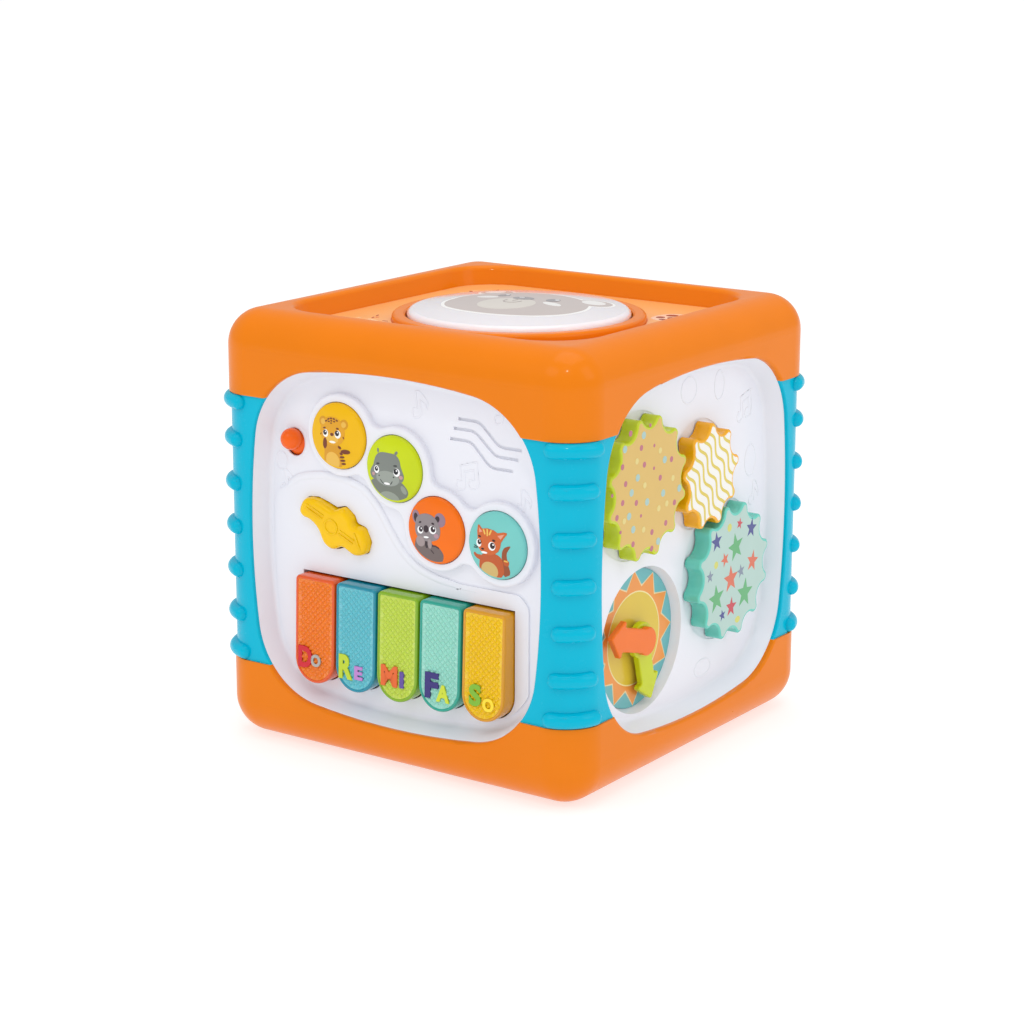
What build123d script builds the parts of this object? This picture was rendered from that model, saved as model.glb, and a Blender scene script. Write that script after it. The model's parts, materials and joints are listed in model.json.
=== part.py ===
from build123d import *
import math
import os

os.makedirs("parts", exist_ok=True)

# ---------------------------------------------------------------- dimensions
# Baby activity cube. +Z up, origin at the centre of the underside.
# -Y is the piano side, +X the gear and clock side, +Y and -X the other two.
W = 230.0            # body width and depth over the flat frame faces
H = 231.0            # overall height
ZC = 115.5           # height of the middle of each side opening
CORNER_R = 21.3      # vertical corner radius of the frames
TOP_R = 19.0         # outer round at the top rim
BOTTOM_R = 21.0      # outer round at the underside
SHELL = 3.0          # frame wall thickness
SEAM_LOW = 43.5      # seam between the lower frame and the corner posts
SEAM_HIGH = 187.5    # seam between the corner posts and the upper frame
POST_INSET = 1.0     # corner posts stand back from the frame faces
LIP = 1.5            # rounded lip of each side opening

OPEN_HALF = 92.0     # half size of a side opening at the lip
FLOOR_HALF = 88.0    # half size of a side panel's flat floor
FLANGE_HALF = 95.4   # half size of a side panel's flange
FLOOR_D = 13.5       # depth of the panel floor below the frame face
PANEL_T = 2.5        # panel wall thickness

TRAY_Z = 220.5       # top tray floor
TRAY_T = 2.5
TRAY_FLOOR_HALF = 89.5
TRAY_TOP_HALF = 92.5
DRUM_HOLE_R = 60.2

RIB_R = 4.0
RIB_ROWS = [(183.2, 94.0), (162.8, 96.5), (139.0, 98.0), (115.5, 98.0),
            (92.0, 98.0), (68.2, 96.5), (47.9, 94.0)]   # height, rib tip position

BUTTON_R = 17.25
BUTTON_TRAVEL = 2.5
BUTTONS = {"leopard": (-38.0, 171.6), "hippo": (-2.5, 159.1),
           "koala": (23.7, 131.1), "cat": (61.3, 129.1)}
COLLAR_R = 21.5
COLLAR_D = 9.6       # depth of the collar's top face

KEY_PITCH = 27.0
KEY_W = 26.0
KEY_MID_X = 1.8
KEY_TOP = 95.0
KEY_BOTTOM = 38.1
KEY_AXLE_Z = 91.0
KEY_AXLE_D = 17.5
KEY_AXLE_R = 1.5
KEY_SKIN = 1.8

GEARS = {"green": (-45.2, 152.9, 12, 37.0, 31.5, 13.9),
         "yellow": (16.5, 147.2, 9, 28.1, 22.6, 9.1),
         "mint": (41.5, 90.8, 12, 37.0, 31.5, 12.5)}   # y, z, teeth, tip, root, phase
GEAR_FRONT_D = 4.5
GEAR_BACK_D = 13.6
POCKET_D = 14.3
GEAR_TIP_ARC = 3.2
GEAR_AXLE_R = 3.0

CLOCK = (-35.4, 70.0)
CLOCK_RIM_R = 38.5
CLOCK_FLOOR_R = 36.6
CLOCK_D = 18.5

LEVER = (-70.7, 163.5)
SCREW_AT = 83.0      # panel screw positions, across and up from the panel centre
COLUMN_AT = 92.0     # case screw columns, in x and y


# ---------------------------------------------------------------- helpers
def face_plane(side, depth):
    """Plane parallel to one side of the cube, `depth` below the frame face.
    Local x runs to the right as seen from outside, local y runs up and the
    normal points outwards; the local origin is the middle of the opening."""
    r = W / 2 - depth
    frames = {"front": ((0, -r, ZC), (1, 0, 0), (0, -1, 0)),
              "right": ((r, 0, ZC), (0, 1, 0), (1, 0, 0)),
              "back": ((0, r, ZC), (-1, 0, 0), (0, 1, 0)),
              "left": ((-r, 0, ZC), (0, -1, 0), (-1, 0, 0))}
    o, x, n = frames[side]
    return Plane(origin=o, x_dir=x, z_dir=n)


def squircle_lines(half):
    """Outline of a side opening: four shallow side arcs and four corner arcs,
    all tangent, at an even offset from the lip outline."""
    e = half - OPEN_HALF
    a = 88.73 + 0.9918 * e
    b = 51.06 + 0.1276 * e
    m = OPEN_HALF + e
    c = 76.33 + 0.7071 * e
    ThreePointArc((a, -b), (m, 0), (a, b))
    ThreePointArc((a, b), (c, c), (b, a))
    ThreePointArc((b, a), (0, m), (-b, a))
    ThreePointArc((-b, a), (-c, c), (-a, b))
    ThreePointArc((-a, b), (-m, 0), (-a, -b))
    ThreePointArc((-a, -b), (-c, -c), (-b, -a))
    ThreePointArc((-b, -a), (0, -m), (b, -a))
    ThreePointArc((b, -a), (c, -c), (a, -b))


def gear_lines(teeth, tip, root, phase):
    """Soft wave-shaped teeth: tangent tip and root arcs."""
    h = math.pi / teeth
    a = GEAR_TIP_ARC
    A = tip - a
    c = math.cos(h)
    b = (a * a - A * A - root * root + 2 * A * c * root) / (2 * (root - A * c - a))
    B = root + b
    # tangent point between a tip arc (centre at angle 0) and a root arc (angle h)
    cx, cy = A, 0.0
    dx, dy = B * c - A, B * math.sin(h)
    d = math.hypot(dx, dy)
    tx, ty = cx + dx / d * a, cy + dy / d * a
    rt, at = math.hypot(tx, ty), math.atan2(ty, tx)

    def pt(r, ang):
        return (r * math.cos(ang), r * math.sin(ang))

    for k in range(teeth):
        t = math.radians(phase) + 2 * math.pi * k / teeth
        ThreePointArc(pt(rt, t - at), pt(tip, t), pt(rt, t + at))
        ThreePointArc(pt(rt, t + at), pt(root, t + h), pt(rt, t + 2 * h - at))


def crown_arc(top, r, edge):
    """Shallow dome arc from (0, top) to (r, edge), centred on the local y axis."""
    c = (r * r + edge * edge - top * top) / (2 * (edge - top))
    rad = abs(top - c)
    m = r * 0.55
    sgn = 1 if top > c else -1
    ThreePointArc((0, top), (m, c + sgn * math.sqrt(rad * rad - m * m)), (r, edge))


def loc(x, z):
    """Side-plane coordinates of a point given by its height above the base."""
    return (x, z - ZC)


# ---------------------------------------------------------------- housing
with BuildPart() as outer_body:
    with BuildSketch(Plane.XY):
        RectangleRounded(W, W, CORNER_R)
    extrude(amount=H)
    fillet(outer_body.edges().group_by(Axis.Z)[-1], TOP_R)
    fillet(outer_body.edges().group_by(Axis.Z)[0], BOTTOM_R)

with BuildPart() as cavity:
    with BuildSketch(Plane.XY.offset(SHELL)):
        RectangleRounded(W - 2 * SHELL, W - 2 * SHELL, CORNER_R - SHELL)
    extrude(amount=H - 2 * SHELL)
    fillet(cavity.edges().group_by(Axis.Z)[-1], TOP_R - SHELL)
    fillet(cavity.edges().group_by(Axis.Z)[0], BOTTOM_R - SHELL)

# hollow inside of the housing, with the tray's floor and walls left standing
with BuildPart() as hollow:
    add(cavity.part)
    with BuildSketch(Plane.XY.offset(TRAY_Z - TRAY_T)):
        RectangleRounded(2 * (TRAY_FLOOR_HALF + 2.4), 2 * (TRAY_FLOOR_HALF + 2.4), 28.4)
    with BuildSketch(Plane.XY.offset(H)):
        RectangleRounded(2 * (TRAY_TOP_HALF + 2.4), 2 * (TRAY_TOP_HALF + 2.4), 31.4)
    loft(mode=Mode.SUBTRACT)

with BuildPart() as shell:
    add(outer_body.part)
    add(hollow.part, mode=Mode.SUBTRACT)
    with BuildSketch(Plane.XY.offset(TRAY_Z)):
        RectangleRounded(2 * TRAY_FLOOR_HALF, 2 * TRAY_FLOOR_HALF, 26)
    with BuildSketch(Plane.XY.offset(H)):
        RectangleRounded(2 * TRAY_TOP_HALF, 2 * TRAY_TOP_HALF, 29)
    loft(mode=Mode.SUBTRACT)
    with BuildSketch(face_plane("front", -1)):
        with BuildLine():
            squircle_lines(OPEN_HALF)
        make_face()
    extrude(amount=-(W + 2), mode=Mode.SUBTRACT)
    with BuildSketch(face_plane("right", -1)):
        with BuildLine():
            squircle_lines(OPEN_HALF)
        make_face()
    extrude(amount=-(W + 2), mode=Mode.SUBTRACT)
    lip_edges = ShapeList()
    for ax, at in ((Axis.X, W / 2), (Axis.X, -W / 2), (Axis.Y, W / 2), (Axis.Y, -W / 2)):
        lip_edges += shell.edges().filter_by_position(ax, at - 0.01, at + 0.01).filter_by(GeomType.CIRCLE)
    fillet(lip_edges, LIP)
    rim_edges = [e for e in shell.edges().filter_by_position(Axis.Z, H - 0.01, H + 0.01)
                 if max(abs(e.bounding_box().max.X), abs(e.bounding_box().min.X),
                        abs(e.bounding_box().max.Y), abs(e.bounding_box().min.Y)) < TRAY_TOP_HALF + 0.5]
    fillet(rim_edges, 3.0)

# upper frame: rim, tray and the bosses that the panels and the drum hang from
with BuildPart() as top_frame:
    add(shell.part)
    with BuildSketch(Plane.XY.offset(SEAM_HIGH)):
        Rectangle(W + 20, W + 20)
    extrude(amount=60, mode=Mode.INTERSECT)
    with BuildSketch(Plane.XY.offset(TRAY_Z + 1)):
        Circle(DRUM_HOLE_R)
    extrude(amount=-10, mode=Mode.SUBTRACT)
    with BuildSketch(Plane.XY.offset(SEAM_HIGH)):
        with Locations((COLUMN_AT, COLUMN_AT), (-COLUMN_AT, COLUMN_AT), (-COLUMN_AT, -COLUMN_AT), (COLUMN_AT, -COLUMN_AT)):
            Circle(5)
        for k in range(4):
            t = math.radians(45 + 90 * k)
            s = 93.7 * math.sqrt(2) + 8.3
            with Locations((s * math.cos(t), s * math.sin(t))):
                Rectangle(21.2, 4, rotation=45 + 90 * k)
    extrude(amount=25)
    with BuildSketch(Plane.XY.offset(SEAM_HIGH - 1)):
        with Locations((COLUMN_AT, COLUMN_AT), (-COLUMN_AT, COLUMN_AT), (-COLUMN_AT, -COLUMN_AT), (COLUMN_AT, -COLUMN_AT)):
            Circle(1.5)
    extrude(amount=21, mode=Mode.SUBTRACT)
    for side in ("front", "right", "back", "left"):
        with BuildSketch(face_plane(side, 9.0)):
            with Locations((SCREW_AT, SCREW_AT), (-SCREW_AT, SCREW_AT)):
                Circle(3.6)
        extrude(amount=6.4)
        with BuildSketch(face_plane(side, 9.0)):
            with Locations((SCREW_AT, SCREW_AT), (-SCREW_AT, SCREW_AT)):
                Circle(1.3)
        extrude(amount=5.0, mode=Mode.SUBTRACT)
    with BuildSketch(Plane.XY.offset(206)):
        with PolarLocations(67, 4, start_angle=45):
            Circle(3.2)
    extrude(amount=12.3)
    with BuildSketch(Plane.XY.offset(206)):
        with PolarLocations(67, 4, start_angle=45):
            Circle(1.2)
    extrude(amount=10, mode=Mode.SUBTRACT)
top_frame.part.label = "top_frame"
export_step(top_frame.part, "parts/top_frame.step")

# lower frame: underside, battery opening, power switch slot and screw bosses
with BuildPart() as bottom_frame:
    add(shell.part)
    with BuildSketch(Plane.XY.offset(SEAM_LOW)):
        Rectangle(W + 20, W + 20)
    extrude(amount=-60, mode=Mode.INTERSECT)
    with BuildSketch(Plane.XY.offset(2)):
        with Locations((COLUMN_AT, COLUMN_AT), (-COLUMN_AT, COLUMN_AT), (-COLUMN_AT, -COLUMN_AT), (COLUMN_AT, -COLUMN_AT)):
            Circle(6)
    extrude(amount=SEAM_LOW - 2)
    with BuildSketch(Plane.XY.offset(-1)):
        with Locations((COLUMN_AT, COLUMN_AT), (-COLUMN_AT, COLUMN_AT), (-COLUMN_AT, -COLUMN_AT), (COLUMN_AT, -COLUMN_AT)):
            Circle(3.6)
    extrude(amount=14, mode=Mode.SUBTRACT)
    with BuildSketch(Plane.XY.offset(-1)):
        with Locations((COLUMN_AT, COLUMN_AT), (-COLUMN_AT, COLUMN_AT), (-COLUMN_AT, -COLUMN_AT), (COLUMN_AT, -COLUMN_AT)):
            Circle(1.7)
    extrude(amount=SEAM_LOW + 2, mode=Mode.SUBTRACT)
    with BuildSketch(Plane.XY.offset(-1)):
        with Locations((0, 5)):
            RectangleRounded(60, 82, 3)
    extrude(amount=5, mode=Mode.SUBTRACT)
    with BuildSketch(Plane.XY.offset(-1)):
        with Locations((-62, 0)):
            SlotOverall(22, 7)
    extrude(amount=5, mode=Mode.SUBTRACT)
    with BuildSketch(Plane.XY.offset(-1)):
        with Locations((-62, 0)):
            RectangleRounded(30, 14, 3)
    extrude(amount=2.2, mode=Mode.SUBTRACT)
    for side in ("front", "right", "back", "left"):
        with BuildSketch(face_plane(side, 9.0)):
            with Locations((SCREW_AT, -SCREW_AT), (-SCREW_AT, -SCREW_AT)):
                Circle(3.6)
        extrude(amount=6.4)
        with BuildSketch(face_plane(side, 9.0)):
            with Locations((SCREW_AT, -SCREW_AT), (-SCREW_AT, -SCREW_AT)):
                Circle(1.3)
        extrude(amount=5.0, mode=Mode.SUBTRACT)
bottom_frame.part.label = "bottom_frame"
export_step(bottom_frame.part, "parts/bottom_frame.step")

# one corner post with its seven wrap-round ribs, at the front right corner
with BuildPart() as post:
    with BuildSketch(Plane.XY.offset(SEAM_LOW)):
        RectangleRounded(W - 2 * POST_INSET, W - 2 * POST_INSET, CORNER_R - POST_INSET)
    extrude(amount=SEAM_HIGH - SEAM_LOW)
    with BuildSketch(face_plane("front", -1)):
        with BuildLine():
            squircle_lines(OPEN_HALF)
        make_face()
    extrude(amount=-(W + 2), mode=Mode.SUBTRACT)
    with BuildSketch(face_plane("right", -1)):
        with BuildLine():
            squircle_lines(OPEN_HALF)
        make_face()
    extrude(amount=-(W + 2), mode=Mode.SUBTRACT)
    with BuildSketch(Plane.XY):
        with Locations((90, -90)):
            Rectangle(70, 70)
    extrude(amount=H, mode=Mode.INTERSECT)
    post_lip = (post.edges().filter_by_position(Axis.X, W / 2 - POST_INSET - 0.01, W / 2 - POST_INSET + 0.01).filter_by(GeomType.CIRCLE)
                + post.edges().filter_by_position(Axis.Y, -W / 2 + POST_INSET - 0.01, -W / 2 + POST_INSET + 0.01).filter_by(GeomType.CIRCLE))
    fillet(post_lip, 1.0)
    cc = W / 2 - CORNER_R
    rr = CORNER_R - POST_INSET
    for z, tip in RIB_ROWS:
        th = math.asin((tip + RIB_R - cc) / rr)
        a0 = -math.pi / 2 + th
        a1 = -th
        d = (math.cos(a0), math.sin(a0), 0)
        with BuildSketch(Plane(origin=(cc, -cc, z), x_dir=d, z_dir=(d[1], -d[0], 0))):
            with Locations((rr, 0)):
                Circle(RIB_R)
        revolve(axis=Axis((cc, -cc, z), (0, 0, 1)), revolution_arc=math.degrees(a1 - a0))
        for a in (a0, a1):
            out = (math.cos(a), math.sin(a), 0)
            with Locations(Plane(origin=(cc + rr * out[0], -cc + rr * out[1], z),
                                 x_dir=(-out[0], -out[1], 0), z_dir=(-out[1], out[0], 0))):
                Sphere(RIB_R)
    add(cavity.part, mode=Mode.SUBTRACT)
    with BuildSketch(Plane.XY.offset(SEAM_LOW)):
        with Locations((COLUMN_AT, -COLUMN_AT)):
            Circle(5)
        with Locations((cc + 8.3 * math.sqrt(0.5), -cc - 8.3 * math.sqrt(0.5))):
            Rectangle(21.2, 4, rotation=-45)
    extrude(amount=16)
    with BuildSketch(Plane.XY.offset(SEAM_HIGH)):
        with Locations((COLUMN_AT, -COLUMN_AT)):
            Circle(5)
        with Locations((cc + 8.3 * math.sqrt(0.5), -cc - 8.3 * math.sqrt(0.5))):
            Rectangle(21.2, 4, rotation=-45)
    extrude(amount=-16)
    with BuildSketch(Plane.XY.offset(SEAM_LOW - 1)):
        with Locations((COLUMN_AT, -COLUMN_AT)):
            Circle(1.5)
    extrude(amount=SEAM_HIGH - SEAM_LOW + 2, mode=Mode.SUBTRACT)

for name, turn in (("front_right", 0), ("back_right", 90), ("back_left", 180), ("front_left", 270)):
    with BuildPart() as corner_post:
        add(post.part, rotation=(0, 0, turn))
    corner_post.part.label = "corner_post_" + name
    export_step(corner_post.part, "parts/corner_post_" + name + ".step")

# ---------------------------------------------------------------- side panels
# plain dished panel: flange behind the lip, sloping wall, flat floor, screw ears
with BuildPart() as panel_base:
    with BuildSketch(face_plane("front", SHELL)):
        with BuildLine():
            squircle_lines(FLANGE_HALF)
        make_face()
    extrude(amount=-2.2)
    with BuildSketch(face_plane("front", SHELL)):
        with BuildLine():
            squircle_lines(OPEN_HALF + 2.2)
        make_face()
    with BuildSketch(face_plane("front", FLOOR_D + PANEL_T)):
        with BuildLine():
            squircle_lines(FLOOR_HALF + 1.4)
        make_face()
    loft()
    with BuildSketch(face_plane("front", 11.0)):
        for k in range(4):
            t = math.radians(45 + 90 * k)
            with Locations((SCREW_AT * math.sqrt(2) * math.cos(t), SCREW_AT * math.sqrt(2) * math.sin(t))):
                Circle(4.6)
            s = SCREW_AT * math.sqrt(2) - 4.5
            with Locations((s * math.cos(t), s * math.sin(t))):
                Rectangle(11, 9.2, rotation=45 + 90 * k)
    extrude(amount=2.0)
    with BuildSketch(face_plane("front", 12.0)):
        with Locations((SCREW_AT, SCREW_AT), (-SCREW_AT, SCREW_AT), (-SCREW_AT, -SCREW_AT), (SCREW_AT, -SCREW_AT)):
            Circle(1.7)
    extrude(amount=4.0, mode=Mode.SUBTRACT)
    with BuildSketch(face_plane("front", SHELL)):
        with BuildLine():
            squircle_lines(OPEN_HALF)
        make_face()
    with BuildSketch(face_plane("front", FLOOR_D)):
        with BuildLine():
            squircle_lines(FLOOR_HALF)
        make_face()
    loft(mode=Mode.SUBTRACT)
    fillet(panel_base.edges().filter_by_position(Axis.Y, -W / 2 + FLOOR_D - 0.01, -W / 2 + FLOOR_D + 0.01)
           .filter_by(GeomType.CIRCLE).filter_by(lambda e: e.length > 20), 2.5)
    add(cavity.part, mode=Mode.INTERSECT)

# outline of the guitar-shaped light button
GUITAR = [(-65.0, 129.5), (-61.5, 135.6), (-54.7, 136.3), (-48.3, 134.5), (-42.5, 132.4), (-36.5, 133.9),
          (-31.1, 129.9), (-29.4, 125.9), (-23.6, 124.4), (-20.3, 117.6), (-22.2, 111.5), (-29.0, 109.5),
          (-36.8, 112.6), (-43.4, 110.6), (-49.0, 113.2), (-53.0, 120.3), (-57.8, 124.1), (-63.0, 125.6)]

SPEAKER_SLOTS = [((34.2, 188.8), (72.5, 177.6)), ((31.3, 183.7), (70.4, 172.6)), ((29.1, 178.2), (67.1, 166.5))]

# raised plateau round the keys and the guitar
PLATEAU = [(-90.0, 112.0), (-82.0, 136.0), (-66.0, 146.5), (-40.0, 149.0), (-24.0, 145.0), (-12.0, 131.0),
           (0.0, 115.0), (14.0, 107.5), (36.0, 104.3), (72.0, 104.3), (77.5, 98.8), (77.5, 10.0), (-90.0, 10.0)]

BOARD_POSTS = [(-76.0, 104.0), (72.0, 104.0), (-73.0, 182.0), (16.0, 185.0)]
KEY_BOARD_POSTS = [(-72.0, 60.0), (75.6, 60.0)]

with BuildPart() as panel_piano:
    add(panel_base.part)
    # raised plateau round the keys and the guitar
    with BuildSketch(face_plane("front", FLOOR_D + 0.5)) as plateau:
        with BuildLine():
            Polyline(*[loc(*p) for p in PLATEAU], close=True)
        make_face()
        fillet(plateau.vertices(), 6.0)
        with BuildLine():
            squircle_lines(FLOOR_HALF - 3.5)
        make_face(mode=Mode.INTERSECT)
    extrude(amount=1.5)
    # collar band round the four animal buttons
    with BuildSketch(face_plane("front", FLOOR_D + 0.5)) as collar:
        with Locations(*[loc(*p) for p in BUTTONS.values()]):
            Circle(COLLAR_R)
        fillet(collar.vertices(), 7)
    extrude(amount=FLOOR_D + 0.5 - COLLAR_D)
    collar_top = panel_piano.faces().filter_by_position(Axis.Y, -W / 2 + COLLAR_D - 0.01, -W / 2 + COLLAR_D + 0.01)
    fillet(collar_top.edges(), 1.5)
    # axle lugs and board posts behind the floor
    with BuildSketch(face_plane("front", FLOOR_D + 1.5)):
        with Locations(loc(KEY_MID_X - 70.6, KEY_AXLE_Z), loc(KEY_MID_X + 70.6, KEY_AXLE_Z)):
            Rectangle(4.0, 9.0)
    extrude(amount=-6.0)
    with BuildSketch(face_plane("front", FLOOR_D + 1.5)):
        with Locations(*[loc(*p) for p in BOARD_POSTS + KEY_BOARD_POSTS]):
            Circle(3.0)
    extrude(amount=-9.0)
    with BuildSketch(face_plane("front", 24.0)):
        with Locations(*[loc(*p) for p in BOARD_POSTS + KEY_BOARD_POSTS]):
            Circle(1.1)
    extrude(amount=7.0, mode=Mode.SUBTRACT)
    # button bores
    with BuildSketch(face_plane("front", 30.0)):
        with Locations(*[loc(*p) for p in BUTTONS.values()]):
            Circle(BUTTON_R + 0.35)
    extrude(amount=30.0, mode=Mode.SUBTRACT)
    # lever hole
    with BuildSketch(face_plane("front", 30.0)):
        with Locations(loc(*LEVER)):
            Circle(8.5)
    extrude(amount=30.0, mode=Mode.SUBTRACT)
    # key window with a scalloped lower edge
    with BuildSketch(face_plane("front", 16.1)):
        for i in range(5):
            with Locations(loc(KEY_MID_X + KEY_PITCH * (i - 2), KEY_BOTTOM + KEY_W / 2)):
                Circle(KEY_W / 2 + 0.6)
        with Locations(loc(KEY_MID_X, (KEY_BOTTOM + KEY_W / 2 + KEY_TOP + 1.0) / 2)):
            Rectangle(4 * KEY_PITCH + KEY_W + 1.2, KEY_TOP + 1.0 - KEY_BOTTOM - KEY_W / 2)
    extrude(amount=10.0, mode=Mode.SUBTRACT)
    # window for the guitar button
    with BuildSketch(face_plane("front", 30.0)) as guitar_hole:
        with BuildLine():
            Polyline(*[loc(*p) for p in GUITAR], close=True)
        make_face()
        fillet(guitar_hole.vertices(), 2.2)
        offset(amount=0.4)
    extrude(amount=30.0, mode=Mode.SUBTRACT)
    # wavy speaker slots
    for (xa, za), (xb, zb) in SPEAKER_SLOTS:
        with BuildSketch(face_plane("front", 30.0)):
            with BuildLine():
                FilletPolyline(loc(xa, za), loc(xa + 13.0, za), loc(xb - 13.5, zb), loc(xb, zb), radius=9.0)
            trace(line_width=1.7)
        extrude(amount=30.0, mode=Mode.SUBTRACT)
    with Locations(Location(Plane(origin=(0, -W / 2 + KEY_AXLE_D, KEY_AXLE_Z), x_dir=(0, 1, 0), z_dir=(1, 0, 0)))):
        Cylinder(KEY_AXLE_R, 160, mode=Mode.SUBTRACT)
panel_piano.part.label = "panel_piano"
export_step(panel_piano.part, "parts/panel_piano.step")

with BuildPart() as panel_gears:
    add(panel_base.part, rotation=(0, 0, 90))
    # clock cup behind the floor
    with BuildSketch(face_plane("right", FLOOR_D + PANEL_T)):
        with Locations(loc(*CLOCK)):
            Circle(CLOCK_RIM_R + 1.8)
    extrude(amount=-(CLOCK_D + 0.8 + 2.2 - FLOOR_D - PANEL_T))
    # bearing bosses for the gear axles
    with BuildSketch(face_plane("right", FLOOR_D + 1.5)):
        with Locations(*[loc(g[0], g[1]) for g in GEARS.values()]):
            Circle(7.0)
    extrude(amount=-5.0)
    # shallow pockets under the gears
    for g in GEARS.values():
        with BuildSketch(face_plane("right", POCKET_D)):
            with Locations(loc(g[0], g[1])):
                Circle(g[3] + 1.3)
            with BuildLine():
                squircle_lines(FLOOR_HALF - 3.0)
            make_face(mode=Mode.INTERSECT)
        extrude(amount=3.0, mode=Mode.SUBTRACT)
    # clock recess with a slightly tapered wall
    with BuildSketch(face_plane("right", FLOOR_D - 0.2)):
        with Locations(loc(*CLOCK)):
            Circle(CLOCK_RIM_R)
    with BuildSketch(face_plane("right", CLOCK_D + 0.8)):
        with Locations(loc(*CLOCK)):
            Circle(CLOCK_FLOOR_R)
    loft(mode=Mode.SUBTRACT)
    with BuildSketch(face_plane("right", 30.0)):
        with Locations(*[loc(g[0], g[1]) for g in GEARS.values()]):
            Circle(GEAR_AXLE_R + 0.06)
        with Locations(loc(*CLOCK)):
            Circle(2.5)
    extrude(amount=30.0, mode=Mode.SUBTRACT)
panel_gears.part.label = "panel_gears"
export_step(panel_gears.part, "parts/panel_gears.step")

# back panel: spinner above, curved slider track below
SPIN = (0.0, 149.0)
SPIN_R = 33.0
TRACK_C = (0.0, 150.0)      # centre of the curved track
TRACK_R = 76.0
TRACK_HALF_DEG = 38.0
with BuildPart() as panel_back:
    add(panel_base.part, rotation=(0, 0, 180))
    with BuildSketch(face_plane("back", FLOOR_D + 1.5)):
        with Locations(loc(*SPIN)):
            Circle(7.0)
    extrude(amount=-5.0)
    with BuildSketch(face_plane("back", POCKET_D)):
        with Locations(loc(*SPIN)):
            Circle(SPIN_R + 1.3)
    extrude(amount=3.0, mode=Mode.SUBTRACT)
    # raised rib round the slider track
    with BuildSketch(face_plane("back", FLOOR_D + 0.5)) as track_pad:
        with BuildLine():
            CenterArc(loc(*TRACK_C), TRACK_R, 270 - TRACK_HALF_DEG - 9, 2 * TRACK_HALF_DEG + 18)
        trace(line_width=22)
        fillet(track_pad.vertices(), 10.0)
    extrude(amount=2.5)
    with BuildSketch(face_plane("back", 20.0)) as track_slot:
        with BuildLine():
            CenterArc(loc(*TRACK_C), TRACK_R, 270 - TRACK_HALF_DEG - 4, 2 * TRACK_HALF_DEG + 8)
        trace(line_width=8.0)
        fillet(track_slot.vertices(), 3.8)
    extrude(amount=20.0, mode=Mode.SUBTRACT)
    with BuildSketch(face_plane("back", 30.0)):
        with Locations(loc(*SPIN)):
            Circle(GEAR_AXLE_R + 0.06)
    extrude(amount=30.0, mode=Mode.SUBTRACT)
panel_back.part.label = "panel_back"
export_step(panel_back.part, "parts/panel_back.step")

# left panel: safety mirror above, roller window below
MIRROR = (0.0, 150.0)
MIRROR_R = 34.0
ROLLER_Z = 68.0
ROLLER_LEN = 96.0
ROLLER_R = 15.0
ROLLER_D = 19.5             # depth of the roller axis
with BuildPart() as panel_left:
    add(panel_base.part, rotation=(0, 0, 270))
    with BuildSketch(face_plane("left", FLOOR_D + 0.8)):
        with Locations(loc(*MIRROR)):
            Circle(MIRROR_R + 0.3)
    extrude(amount=3.0, mode=Mode.SUBTRACT)
    with BuildSketch(face_plane("left", FLOOR_D + 0.5)):
        with Locations(loc(0, ROLLER_Z)):
            RectangleRounded(ROLLER_LEN + 12, 2 * ROLLER_R + 10, 6)
    extrude(amount=2.0)
    # end walls that carry the roller axle
    with BuildSketch(face_plane("left", FLOOR_D + 1.5)):
        with Locations(loc(-ROLLER_LEN / 2 - 2.3, ROLLER_Z), loc(ROLLER_LEN / 2 + 2.3, ROLLER_Z)):
            Rectangle(3.4, 22)
    extrude(amount=-8.0)
    with BuildSketch(face_plane("left", 16.1)):
        with Locations(loc(0, ROLLER_Z)):
            RectangleRounded(ROLLER_LEN + 1.2, 2 * ROLLER_R + 1.6, 2)
    extrude(amount=10.0, mode=Mode.SUBTRACT)
    with Locations(Location(Plane(origin=(-W / 2 + ROLLER_D, 0, ROLLER_Z), x_dir=(1, 0, 0), z_dir=(0, 1, 0)))):
        Cylinder(2.0, ROLLER_LEN + 7.2, mode=Mode.SUBTRACT)
panel_left.part.label = "panel_left"
export_step(panel_left.part, "parts/panel_left.step")

# ---------------------------------------------------------------- drum on the top
with BuildPart() as tray_label:
    with BuildSketch(Plane.XY.offset(TRAY_Z)):
        RectangleRounded(2 * TRAY_FLOOR_HALF - 1.2, 2 * TRAY_FLOOR_HALF - 1.2, 25.4)
        Circle(68.0, mode=Mode.SUBTRACT)
    extrude(amount=0.3)
tray_label.part.label = "tray_label"
export_step(tray_label.part, "parts/tray_label.step")

with BuildPart() as drum_ring:
    with BuildSketch(Plane.XZ):
        with BuildLine():
            Polyline((60.4, 220.5), (67.5, 220.5), (67.5, 222.6))
            ThreePointArc((67.5, 222.6), (66.94, 223.94), (65.6, 224.5))
            Polyline((65.6, 224.5), (61.4, 224.5), (60.4, 223.6), (60.4, 220.5))
        make_face()
    revolve(axis=Axis.Z)
drum_ring.part.label = "drum_ring"
export_step(drum_ring.part, "parts/drum_ring.step")

DOME_R = 59.5
with BuildPart() as drum_dome:
    with BuildSketch(Plane.XZ):
        with BuildLine():
            crown_arc(230.0, 56.0, 227.0)
            ThreePointArc((56.0, 227.0), (58.6, 225.9), (59.5, 223.6))
            Polyline((59.5, 223.6), (59.5, 217.3), (62.4, 217.3), (62.4, 215.6), (57.3, 215.6), (57.3, 223.6))
            ThreePointArc((57.3, 223.6), (56.6, 224.7), (55.5, 225.1))
            crown_arc(227.9, 55.5, 225.1)
            Polyline((0, 227.9), (0, 230.0))
        make_face()
    revolve(axis=Axis.Z)
drum_dome.part.label = "drum_dome"
export_step(drum_dome.part, "parts/drum_dome.step")

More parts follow.
